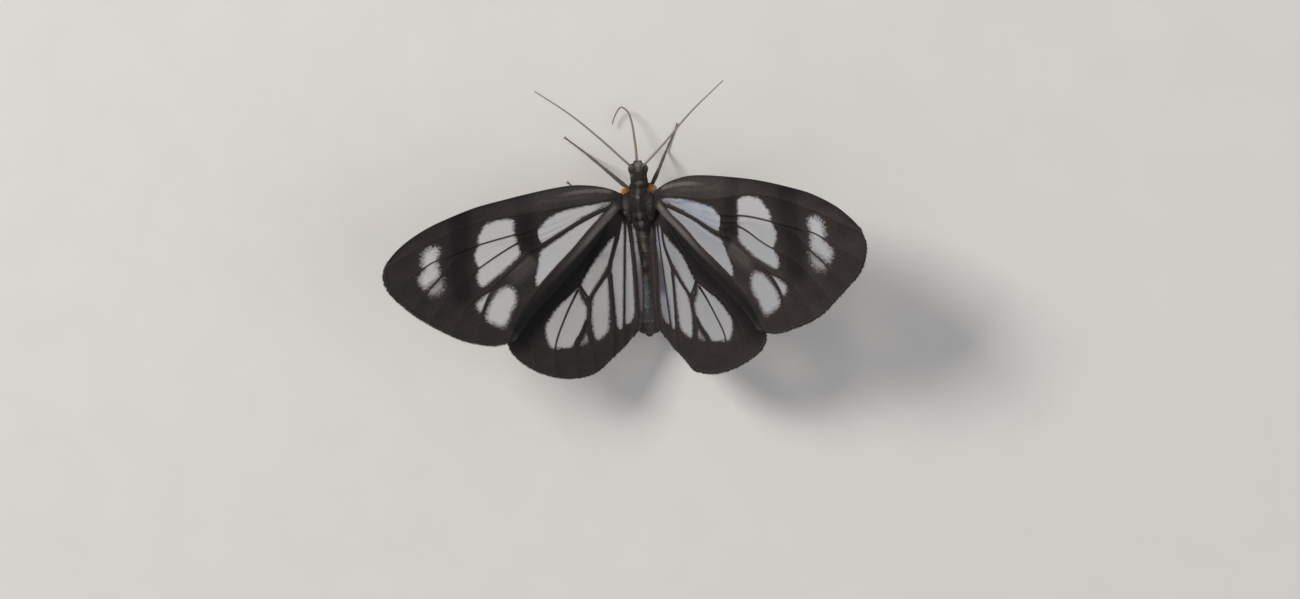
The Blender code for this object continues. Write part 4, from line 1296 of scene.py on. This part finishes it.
def tuft_finish():
    """Coloured by each tuft's own tint, with fine ribs along it."""
    material, tree, shader = new_finish("coat_tufts", 0.62)
    rib_inputs = {"Vector": object_place(tree), "Scale": 30.0 / MM, "Detail": 2.0}
    ribs = add_node(tree, "ShaderNodeTexNoise", rib_inputs).outputs["Fac"]
    uneven = step_between(tree, ribs, 0.3, 0.7, 0.0, 0.35)
    base = blend_colour(tree, uneven, marked(tree, "tint", "Color"), colour(0.5, 0.5, 0.5), "MULTIPLY")
    tree.links.new(base, shader.inputs["Base Color"])
    raise_by(tree, shader, ribs, 0.3, 0.004)
    shader.inputs["Specular IOR Level"].default_value = 0.3
    return material


COAT_FINISH = tuft_finish()

# %% Blades on their places
LENGTHS, WIDTHS, LIFTS, SHADES = (0.75, 1.25), (0.8, 1.2), (0.5, 1.5), (0.65, 1.35)
WANDER = 0.16
BLADE_FLATNESS = 0.3
LOWEST_PLACE = 0.004
TUFT_PATCH = 0.003


def blades(roots, normals, lie, sizes):
    """One blade at each root, with sizes as length, width, lift in radians and curl."""
    count = len(roots)
    length, width, lift, curl = (np.broadcast_to(size, (count,)) for size in sizes)
    length = length * RANDOM.uniform(*LENGTHS, count)
    width = width * RANDOM.uniform(*WIDTHS, count)
    lift = lift * RANDOM.uniform(*LIFTS, count)
    wander = RANDOM.normal(0.0, WANDER, (count, 3))
    lie = unit(unit(lie) + wander)
    lie = unit(lie - normals * (lie * normals).sum(axis=1)[:, None])
    side = np.cross(lie, normals)
    blade = lie * np.cos(lift)[:, None] + normals * np.sin(lift)[:, None]
    up = np.cross(side, blade)
    long = length[:, None, None]
    wide = 0.5 * width[:, None, None]
    places = roots[:, None] + blade[:, None] * long * ALONG
    places = places - normals[:, None] * curl[:, None, None] * long * ALONG**2
    places = places + side[:, None] * wide * ACROSS + up[:, None] * BLADE_FLATNESS * wide * RISE
    places[..., 2] = np.maximum(places[..., 2], LOWEST_PLACE)
    return places


def blade_mesh(name, places):
    """One mesh of many copies of the tuft, with their vertices at the given places."""
    count = len(places)
    faces = [np.array(face) for face in TUFT_FACES]
    corners = (np.concatenate(faces)[None] + len(TUFT) * np.arange(count)[:, None]).ravel()
    starts = np.concatenate([[0], np.cumsum(np.tile([len(face) for face in faces], count))[:-1]])
    mesh = bpy.data.meshes.new(name)
    mesh.vertices.add(count * len(TUFT))
    mesh.vertices.foreach_set("co", world(places.reshape(-1, 3)).astype(np.float32).ravel())
    mesh.loops.add(len(corners))
    mesh.loops.foreach_set("vertex_index", corners.astype(np.int32))
    mesh.polygons.add(len(starts))
    mesh.polygons.foreach_set("loop_start", starts.astype(np.int32))
    mesh.update(calc_edges=True)
    mesh.shade_smooth()
    return mesh


def grow(name, slot, roots, normals, lie, sizes, tints, flat):
    """Grows a coat, with one blade at each root, made darker at its root than at its tip by painted shade."""
    mesh = blade_mesh(name, blades(roots, normals, lie, sizes))
    # Random tone, times painted shade that darkens each blade towards its root.
    shade = RANDOM.uniform(*SHADES, (len(roots), 1, 1)) * (0.7 + 0.6 * ALONG)
    mark(mesh, "tint", (tints[:, None] * shade).reshape(-1, 3))
    patch = np.concatenate([0.5 * ACROSS, ALONG], axis=2) * TUFT_PATCH
    lay_map(mesh, "OFBake", (np.asarray(flat)[:, None] + patch).reshape(-1, 2))
    made = bpy.data.objects.new(name, mesh)
    bpy.context.scene.collection.objects.link(made)
    carry(made, COAT_FINISH, slot)


# %% [markdown]
# The outer margin of a moth's wing ends in a fringe, one row of long scales on either side of the
# membrane. They follow the rim of the built wing, so they share its waves, and most of their length
# lies on the wing.

# %% Fringe of the wings
FRINGE_STEP = 0.032
FRINGE_SIZES = (0.32, 0.085, 0.03, 0.02)
FRINGE_ROOT = 0.24
FRINGE_LIFT = 0.02
FRINGE_TINT = (0.026, 0.022, 0.020)
MAP_CORNER = (3.0, 2.0)


def fringe(name):
    rim, inside, drawn = RIMS[name]
    lengths = np.concatenate([[0.0], np.cumsum(np.linalg.norm(np.diff(rim, axis=0), axis=1))])
    stops = np.linspace(0.0, lengths[-1], int(lengths[-1] / FRINGE_STEP))
    edge, outward, flat = (
        np.column_stack([np.interp(stops, lengths, values) for values in line.T])
        for line in (rim, unit(rim - inside), drawn)
    )
    facing = unit(np.cross(np.gradient(edge, axis=0), outward))
    facing *= np.sign(facing[:, 2:])
    roots = edge - FRINGE_ROOT * unit(outward)
    roots = np.vstack([roots + FRINGE_LIFT * facing, roots - FRINGE_LIFT * facing])
    normals, lie = np.vstack([facing, -facing]), np.vstack([outward, outward])
    flat = (flat + MAP_CORNER) / MAP_MM * (1.0, 0.5)
    flat = np.vstack([flat, flat + (0.0, 0.5)])
    tints = np.tile(FRINGE_TINT, (len(roots), 1))
    grow(f"fringe_{name}", "black_wing_scales", roots, normals, lie, FRINGE_SIZES, tints, flat)


for name in RIMS:
    fringe(name)

# %% [markdown]
# The body's coat grows in parts: head, thorax, shoulder plates, wing roots and abdomen. Each part has
# a chance that says where on the skin it grows, and a comb that says how it lies, how large its tufts
# are and how they are tinted. Sizes are length, width, lift and curl.

# %% Where each part grows, and how it lies
UNROLL_X = 0.05
UNROLL_HEIGHTS = (2.0, 3.4)
ABDOMEN_BEGINS = -2.2
WING_ROOT_TINT = (0.082, 0.060, 0.052)


def share_of_turn(across, up):
    return np.arctan2(across, up) / (2.0 * math.pi) + 0.5


def unrolled(points, first_y, last_y):
    """The place of each point on the body, unrolled like a label from front to back."""
    lengthwise = (points[:, 1] - first_y) / (last_y - first_y)
    height = np.where(points[:, 1] < ABDOMEN_BEGINS, *UNROLL_HEIGHTS)
    turn = share_of_turn(points[:, 0] - UNROLL_X, points[:, 2] - height)
    return np.column_stack([0.01 + 0.97 * lengthwise, 0.01 + 0.97 * turn])


def lying(out, forward, up):
    """The lie of each tuft, from its three parts."""
    return np.column_stack(np.broadcast_arrays(out, forward, up))


def coat(name, count, chance, comb, ends, slot="greenish_black_scales"):
    """Covers one part of the skin between two ends from back to front."""
    roots, normals = scatter(SKIN.data, count, chance)
    lie, sizes, tints = comb(roots)
    grow(name, slot, roots, normals, lie, sizes, tints, unrolled(roots, *ends))


def beside_tegula(points):
    """1 on the shoulder plates and 0 elsewhere."""
    middle, radii, _ = SIDE_LOBES[0]
    folded = np.column_stack([np.abs(points[:, 0]), points[:, 1], points[:, 2]]) - middle
    turned = np.column_stack([
        folded[:, 0] * math.cos(TEGULA_LEAN) - folded[:, 2] * math.sin(TEGULA_LEAN),
        folded[:, 1],
        folded[:, 0] * math.sin(TEGULA_LEAN) + folded[:, 2] * math.cos(TEGULA_LEAN),
    ])
    depth = np.linalg.norm(turned / radii, axis=1)
    return 1.0 - ease(depth, 0.92, 1.12)


def head_chance(points):
    return ease(points[:, 1], 1.62, 1.75) * (0.35 + 0.65 * ease(points[:, 2], 2.6, 3.2))


def comb_head(roots):
    front = ease(roots[:, 1], 2.25, 2.6)
    length = 0.15 + 0.10 * ease(roots[:, 2], 3.3, 3.9)
    lie = lying(0.5 * roots[:, 0], 2.0 * front - 1.0, -0.25)
    return lie, (length, 0.060, 0.45, 0.25), body_marks(roots)


def thorax_chance(points):
    y = points[:, 1]
    upper = 0.35 + 0.65 * ease(points[:, 2], 2.3, 3.2)
    between_joins = ease(y, -2.2, -2.0) * (1.0 - ease(y, 1.70, 1.78))
    return upper * between_joins * (1.0 - 0.9 * beside_tegula(points))


def comb_thorax(roots):
    collar = ease(roots[:, 1], 0.75, 1.2)
    length = 0.30 + 0.03 * ease(-roots[:, 1], 0.6, 1.4) - 0.06 * collar
    lie = lying(0.35 * roots[:, 0], -1.0, -0.10)
    return lie, (length, 0.070, 0.26 + 0.25 * collar, 0.22), body_marks(roots)


def plates_chance(points):
    return beside_tegula(points) * ease(points[:, 2], 3.4, 3.8)


def comb_plates(roots):
    length = 0.36 + 0.20 * ease(-roots[:, 1], 0.0, 0.9)
    lie = lying(0.15 * np.sign(roots[:, 0]), -1.0, -0.08)
    return lie, (length, 0.080, 0.20, 0.20), body_marks(roots)


def wing_root_chance(points):
    flank = ease(np.abs(points[:, 0]), 0.45, 0.70) * ease(points[:, 2], 3.2, 3.5)
    flank = flank * (1.0 - ease(np.abs(points[:, 0]), 1.05, 1.30))
    return flank * ease(-points[:, 1], 0.50, 0.75) * (1.0 - ease(-points[:, 1], 1.25, 1.50))


def comb_wing_roots(roots):
    lie = lying(0.10 * np.sign(roots[:, 0]), -1.0, -0.04)
    return lie, (0.50, 0.060, 0.10, 0.06), np.tile(WING_ROOT_TINT, (len(roots), 1))


def abdomen_chance(points):
    return 1.0 - ease(points[:, 1], -2.1, -1.9)


def comb_abdomen(roots):
    segment = down_abdomen(roots[:, 1]) * ABDOMEN_SEGMENTS
    at_edge = ease(np.mod(segment, 1.0), 0.72, 0.95)
    length = 0.20 + 0.06 * at_edge - 0.12 * ease(segment, 7.5, 7.9)
    tints = body_marks(roots) * (1.0 + 0.35 * at_edge[:, None])
    return lying(-0.05 * roots[:, 0], -1.0, 0.0), (length, 0.095, 0.16 + 0.06 * at_edge, 0.16), tints


# %% Grow the body's coat
coat("coat_head", 5200, head_chance, comb_head, (1.6, 3.2), "grey_head_scales")
coat("coat_thorax", 11500, thorax_chance, comb_thorax, (-2.3, 1.8))
coat("coat_shoulder_plates", 3600, plates_chance, comb_plates, (-1.6, 1.4))
coat("hair_at_wing_roots", 1200, wing_root_chance, comb_wing_roots, (-1.9, -0.4))
coat("coat_abdomen", 11000, abdomen_chance, comb_abdomen, (-11.0, -1.9))

# %% [markdown]
# The two orange tufts sit in front of the wing roots. Each is a fan of long scales on a small ball, so
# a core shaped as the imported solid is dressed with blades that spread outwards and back.

# %% Orange shoulder tufts
ORANGE = np.array([0.50, 0.235, 0.095])
# The right tuft is made darker by painted shade.
TUFT_PAINTED_SHADE = {"left": 1.0, "right": 0.82}
PALE_ORANGE = np.array([0.62, 0.42, 0.22])
TUFT_CENTRES = {"left": np.array([-1.00, 0.62, 3.99]), "right": np.array([1.04, 0.80, 3.97])}
TUFT_CORE = (0.25, 0.19, 0.21)
CORE_TONE = 0.55
ORANGE_SIZES = (0.30, 0.050, 0.42, 0.15)


def orange_tuft(side):
    sign, centre = SIDES[side], TUFT_CENTRES[side]
    bm = ball(24, 14)
    places = places_in(bm) * TUFT_CORE + centre
    core = object_from(bm, f"orange_tuft_core_{side}", world(places))
    mark(core.data, "marks", np.tile(ORANGE * CORE_TONE, (len(places), 1)))
    carry(core, skin_finish(f"orange_core_{side}", 0.02), "orange_scales", f"shoulder_tuft_{side}")

    roots, normals = scatter(core.data, 620, everywhere)
    lie = np.tile((sign * 0.75, -0.35, 0.25), (len(roots), 1))
    away_from_body = ease(sign * (roots[:, 0] - centre[0]), -0.1, 0.25)[:, None]
    # Orange tint, times painted shade on the right tuft.
    tints = TUFT_PAINTED_SHADE[side] * (ORANGE + away_from_body * (PALE_ORANGE - ORANGE))
    offset = (roots - centre) / TUFT_CORE
    turn = share_of_turn(offset[:, 0], offset[:, 2])
    flat = np.column_stack([0.02 + 0.96 * turn, 0.5 + 0.46 * offset[:, 1]])
    grow(f"orange_tuft_{side}", "orange_scales", roots, normals, lie, ORANGE_SIZES, tints, flat)


for side in SIDES:
    orange_tuft(side)

# %% [markdown]
# ## Eyes
#
# A compound eye is a dome of thousands of facets, set into the side of the head. The dome is a
# stretched ball that reaches into the skin, so no gap can show, and the facets are a cell pattern in
# its bump, because each is only 0.02 mm across. A clear coat gives the wet gloss.

# %% Eyes
EYE_PLACE = np.array([0.43, 0.00, 0.05])
EYE_RADII = (0.37, 0.46, 0.46)
EYE_BROWN, EYE_GREEN = colour(0.026, 0.016, 0.012), colour(0.040, 0.033, 0.022)
FACET = 0.028


def eye_finish():
    material, tree, shader = new_finish("compound_eye", 0.38)
    place = object_place(tree)
    grid = {"Vector": place, "Scale": 1.0 / (FACET * MM), "Randomness": 0.25}
    facets = add_node(tree, "ShaderNodeTexVoronoi", grid).outputs["Distance"]
    cloud = add_node(tree, "ShaderNodeTexNoise", {"Vector": place, "Scale": 3.5 / MM, "Detail": 2.0})
    base = blend_colour(tree, cloud.outputs["Fac"], EYE_BROWN, EYE_GREEN)
    rim = step_between(tree, facets, 0.35, 0.65, 0.0, 0.6)
    rimmed = blend_colour(tree, rim, base, colour(0.3, 0.3, 0.3), "MULTIPLY")
    tree.links.new(rimmed, shader.inputs["Base Color"])
    raise_by(tree, shader, work_out(tree, "SUBTRACT", 1.0, facets), 0.35, 0.006)
    shader.inputs["Specular IOR Level"].default_value = 0.30
    shader.inputs["Coat Weight"].default_value = 0.12
    shader.inputs["Coat Roughness"].default_value = 0.15
    return material


EYE_FINISH = eye_finish()
for side, sign in SIDES.items():
    bm = ball(48, 32)
    places = on_head(on_side(places_in(bm) * EYE_RADII + EYE_PLACE, side))
    if sign < 0:
        bmesh.ops.reverse_faces(bm, faces=bm.faces)
    carry(object_from(bm, f"eye_dome_{side}", world(places)), EYE_FINISH, "dark_eye", f"eye_{side}")

# %% [markdown]
# ## Feelers, palps and proboscis
#
# A feeler is a chain of some sixty short joints, each a little wider at its far end. One tube with a
# ring for every joint gives that in a single mesh. The palps are short, furry and bent up in front of
# the face, and the proboscis is a smooth brown tube with fine rings that reaches down to the surface.

# %% Feelers
FEELER_JOINTS = 64
FEELER_ROOT_RADIUS, FEELER_NARROWING, FEELER_TAPER = 0.100, 0.058, 1.2
JOINT_PROFILE = (-1.0, 0.2, 0.9, 1.2)
JOINT_SWELLING = 0.10
SCAPE_PROFILE = (1.0, 1.2, 1.4, 1.5, 1.5, 1.45, 1.3, 1.1, 1.3, 1.1)
FEELER_SOCKET = (0.30, 0.16, 0.50)
FEELER_STOPS = {
    "left": ((-0.66, 2.70, 4.1), (-2.62, 4.78, 5.6), (-4.62, 6.67, 7.0), (-6.98, 8.45, 8.4)),
    "right": ((0.62, 2.76, 4.1), (2.54, 4.32, 5.4), (4.88, 6.42, 6.9), (7.80, 8.64, 8.5)),
}


def joint_finish(name, dark, pale, spacing, roughness, root_shade=0.0):
    """Rings at an even spacing along a tube, pale at the joints, with fine scales between."""
    material, tree, shader = new_finish(name, roughness)
    rings = work_out(tree, "PINGPONG", marked(tree, TUBE_LAYER), 0.5 * spacing)
    at_joint = step_between(tree, rings, 0.0, 0.22 * spacing, 1.0, 0.0)
    fine_inputs = {"Vector": object_place(tree), "Scale": 9.0 / MM, "Detail": 3.0}
    fine = add_node(tree, "ShaderNodeTexNoise", fine_inputs).outputs["Fac"]
    base = blend_colour(tree, fine, dark, pale)
    ringed_tone = blend_colour(tree, work_out(tree, "MULTIPLY", at_joint, 0.6), base, pale)
    root = step_between(tree, marked(tree, TUBE_LAYER), 0.25, 0.9, root_shade, 0.0)
    shaded = blend_colour(tree, root, ringed_tone, colour(0.25, 0.25, 0.25), "MULTIPLY")
    tree.links.new(shaded, shader.inputs["Base Color"])
    raise_by(tree, shader, work_out(tree, "SUBTRACT", fine, at_joint), 0.5, 0.012)
    shader.inputs["Specular IOR Level"].default_value = 0.3
    return material


FEELER_TONES = (colour(0.190, 0.165, 0.150), colour(0.340, 0.305, 0.285))
FEELER_FINISH = joint_finish("feeler_scales", *FEELER_TONES, 0.135, 0.6, root_shade=1.0)
for side in SIDES:
    stops = (on_head(on_side(FEELER_SOCKET, side)), *FEELER_STOPS[side])
    place = np.linspace(0.0, 1.0, len(JOINT_PROFILE) * FEELER_JOINTS)
    width = FEELER_ROOT_RADIUS - FEELER_NARROWING * place**FEELER_TAPER
    swelling = 1.0 + JOINT_SWELLING * np.tile(JOINT_PROFILE, FEELER_JOINTS)
    swelling[: len(SCAPE_PROFILE)] = SCAPE_PROFILE
    feeler = single_tube(f"feeler_{side}", along(stops, place), width * swelling, 10)
    carry(feeler, FEELER_FINISH, "grey_brown_leg_scales", f"antenna_{side}")

# %% Palps
PALP_STOPS = ((0.13, 0.26, -0.62), (0.18, 0.44, -0.42), (0.18, 0.55, -0.14), (0.16, 0.56, 0.10))
PALP_RINGS = 16
PALP_TINT = np.array([0.095, 0.086, 0.068])
PALP_SIZES = (0.15, 0.055, 0.35, 0.2)


def down_shaft(shaft, place, step):
    """The direction of a shaft at each place along it."""
    before, after = np.maximum(place - step, 0.0), np.minimum(place + step, 1.0)
    return unit(along(shaft, after) - along(shaft, before))


def unwound(place, turn):
    """Flat places on a tube, from the place along it and the turn round it."""
    return np.column_stack([0.02 + 0.95 * place, 0.02 + 0.95 * turn])


for side in SIDES:
    shaft = along(on_head(on_side(PALP_STOPS, side)), np.linspace(0.0, 1.0, PALP_RINGS))
    width = 0.13 * np.sin(np.linspace(0.9, 2.75, PALP_RINGS)) + 0.02
    palp = single_tube(f"palp_core_{side}", shaft, width, 14)
    mark(palp.data, "marks", np.tile(PALP_TINT, (len(palp.data.vertices), 1)))
    carry(palp, skin_finish(f"palp_scales_{side}", 0.02), "greenish_black_scales", f"palp_{side}")
    roots, normals = scatter(palp.data, 480, everywhere)
    _, place = line_distance(roots, shaft)
    lie = down_shaft(shaft, place, 0.05)
    flat = unwound(place, share_of_turn(normals[:, 0], normals[:, 1]))
    # Palp tufts lighter towards the end: painted light against the shade between tufts seen end-on.
    tints = PALP_TINT * (1.0 + 0.4 * ease(place, 0.75, 0.2) + 0.9 * ease(place, 0.65, 0.95))[:, None]
    grow(f"coat_palp_{side}", "greenish_black_scales", roots, normals, lie, PALP_SIZES, tints, flat)

# %% Proboscis
TONGUE_STOPS = (
    (-0.31, 2.70, 2.80), (-0.39, 3.14, 2.68), (-0.47, 3.94, 2.50), (-0.63, 4.76, 2.20), (-0.83, 5.66, 1.80),
    (-1.11, 6.53, 1.40), (-1.41, 7.07, 1.10), (-1.98, 7.46, 0.85), (-2.43, 7.06, 0.65),
    (-2.72, 6.51, 0.55), (-2.84, 6.16, 0.50),
)
TONGUE_TONES = (colour(0.150, 0.110, 0.078), colour(0.270, 0.210, 0.160))
TONGUE_FINISH = joint_finish("proboscis_horn", *TONGUE_TONES, 0.07, 0.42)
TONGUE_RINGS = 140
TONGUE_FLATNESS = 0.8
place = np.linspace(0.0, 1.0, TONGUE_RINGS)
width = 0.115 - 0.055 * place
tongue = single_tube("proboscis_tube", along(TONGUE_STOPS, place), width, 12, TONGUE_FLATNESS)
carry(tongue, TONGUE_FINISH, "brown_proboscis", "proboscis")

# %% [markdown]
# ## Legs
#
# Each leg is a chain: hip joint, thick femur, slim tibia and a foot of five short joints with two
# claws. Every link is its own closed tube that starts inside the one before it, as real joints do.
# The tibiae carry spurs, one pair on a middle leg and two on a hind leg. Narrow scales lie along the
# links, and the foot rests on the floor.

# %% Where each leg bends
ANKLE_HEIGHT = 0.20
SOLE = 0.075
LEG_STOPS = {
    "foreleg_left": ((-0.74, 0.42, 2.00), (-3.24, 2.68, 2.60), (-5.22, 3.93), (-6.86, 5.17)),
    "foreleg_right": ((0.64, 1.14, 1.98), (1.43, 2.50, 2.55), (1.48, 3.90), (2.36, 5.88)),
    "midleg_left": ((-0.82, 0.25, 1.90), (-3.40, -0.30, 2.85), (-5.20, 0.25), (-6.74, 1.54)),
    "midleg_right": ((0.82, 0.25, 1.90), (2.80, -0.35, 2.85), (4.15, -0.15), (5.35, 1.05)),
    "hindleg_left": ((-0.76, -1.05, 1.96), (-3.00, -2.20, 2.70), (-5.20, -4.40), (-6.80, -6.30)),
    "hindleg_right": ((0.76, -1.05, 1.96), (2.40, -2.30, 2.70), (3.90, -4.90), (5.40, -6.90)),
}
HIP_WIDTHS = (0.24, 0.26, 0.16)
THIGH_WIDTHS = (0.11, 0.150, 0.165, 0.155, 0.130, 0.11)
SHIN_WIDTHS = (0.105, 0.105, 0.115, 0.115, 0.100, 0.085)
FOOT_JOINTS = (0.0, 0.38, 0.58, 0.74, 0.87, 1.0)
FOOT_RADIUS, FOOT_TAPER = 0.066, 0.003
CLAW_FORWARD = (0.0, 0.10, 0.17, 0.20)
CLAW_ASIDE = (0.02, 0.06, 0.09, 0.10)
CLAW_UP = (0.0, 0.03, 0.0, -0.07)
CLAW_RADII, SPUR_RADII = np.linspace(0.030, 0.006, 8), np.linspace(0.035, 0.008, 8)
SPURS = {"foreleg": (), "midleg": (0.96,), "hindleg": (0.62, 0.96)}
LEG_TONES = (colour(0.105, 0.078, 0.066), colour(0.190, 0.150, 0.128))
LEG_FINISH = joint_finish("leg_scales", *LEG_TONES, 0.6, 0.6)
LEG_TINT, PALER_BELOW = np.array([0.150, 0.114, 0.096]), np.array([0.08, 0.075, 0.065])


def link(bm, start, end, widths, around=12):
    """One link of a leg between two joints, with its radius at even steps."""
    count = 4 * len(widths)
    place = np.linspace(0.0, 1.0, count)
    path = start + (end - start) * place[:, None]
    radii = np.interp(place, np.linspace(0.0, 1.0, len(widths)), widths)
    radii[0] *= 0.6
    radii[-1] *= 0.6
    add_tube(bm, path, radii, around)


def add_foot(bm, ankle, heel, toe, onward, aside):
    """Five short joints, two hooked claws and the pad between them."""
    foot = along([ankle, heel, toe], FOOT_JOINTS)
    for number, (start, end) in enumerate(zip(foot, foot[1:])):
        thin = FOOT_RADIUS - FOOT_TAPER * number
        link(bm, start - 0.1 * (end - start), end, (0.8 * thin, thin, 1.1 * thin), 10)
    for way in (-1.0, 1.0):
        claw = toe + np.outer(CLAW_FORWARD, onward)
        claw = claw + np.outer(CLAW_ASIDE, way * aside)
        claw[:, 2] += CLAW_UP
        add_tube(bm, along(claw, np.linspace(0.0, 1.0, len(CLAW_RADII))), CLAW_RADII, 6)
    add_tube(bm, toe + np.outer((0.0, 0.05, 0.10), onward), (0.05, 0.06, 0.03), 8, 0.5)


def add_spurs(bm, knee, ankle, spots):
    """A pair of spurs at each spot on the tibia."""
    shin = unit(ankle - knee)
    across_shin = unit(np.cross(shin, (0.0, 0.0, 1.0)))
    for spot in spots:
        for way in (-1.0, 1.0):
            root = knee + (ankle - knee) * spot
            tip = root + 0.50 * shin + 0.20 * way * across_shin
            tip[2] = max(tip[2], 0.05)
            add_tube(bm, np.linspace(root, tip, len(SPUR_RADII)), SPUR_RADII, 6)


def build_leg(kind, side):
    name = f"{kind}_{side}"
    trochanter, knee, ankle_spot, toe_spot = (np.array(stop) for stop in LEG_STOPS[name])
    hip = on_side(HIPS[kind], side)
    ankle = np.array([*ankle_spot, ANKLE_HEIGHT])
    toe = np.array([*toe_spot, SOLE])
    heel = ankle + (toe - ankle) * 0.30
    heel[2] = SOLE + 0.02
    onward = unit(toe - heel)
    aside = unit(np.cross(onward, (0.0, 0.0, 1.0)))

    bm = bmesh.new()
    link(bm, hip, trochanter, HIP_WIDTHS)
    link(bm, trochanter, knee, THIGH_WIDTHS)
    link(bm, knee, ankle, SHIN_WIDTHS)
    add_foot(bm, ankle, heel, toe, onward, aside)
    add_spurs(bm, knee, ankle, SPURS[kind])
    leg = finished_tubes(bm, f"leg_{name}")
    carry(leg, LEG_FINISH, "grey_brown_leg_scales", name)

    shaft = along([hip, trochanter, knee, ankle, heel, toe], np.linspace(0.0, 1.0, 60))
    roots, normals = scatter(leg.data, 1500, everywhere)
    _, place = line_distance(roots, shaft)
    lie = down_shaft(shaft, place, 0.02)
    flat = unwound(place, share_of_turn(normals[:, 2], normals @ aside))
    tints = LEG_TINT + ease(-normals[:, 2], -0.2, 0.7)[:, None] * PALER_BELOW
    size = np.interp(place, (0.0, 0.45, 0.75, 1.0), (1.0, 1.0, 0.8, 0.5))
    sizes = (0.15 * size, 0.050 * size, 0.16, 0.14)
    grow(f"coat_{name}", "grey_brown_leg_scales", roots, normals, lie, sizes, tints, flat)


for kind in HIPS:
    for side in SIDES:
        build_leg(kind, side)
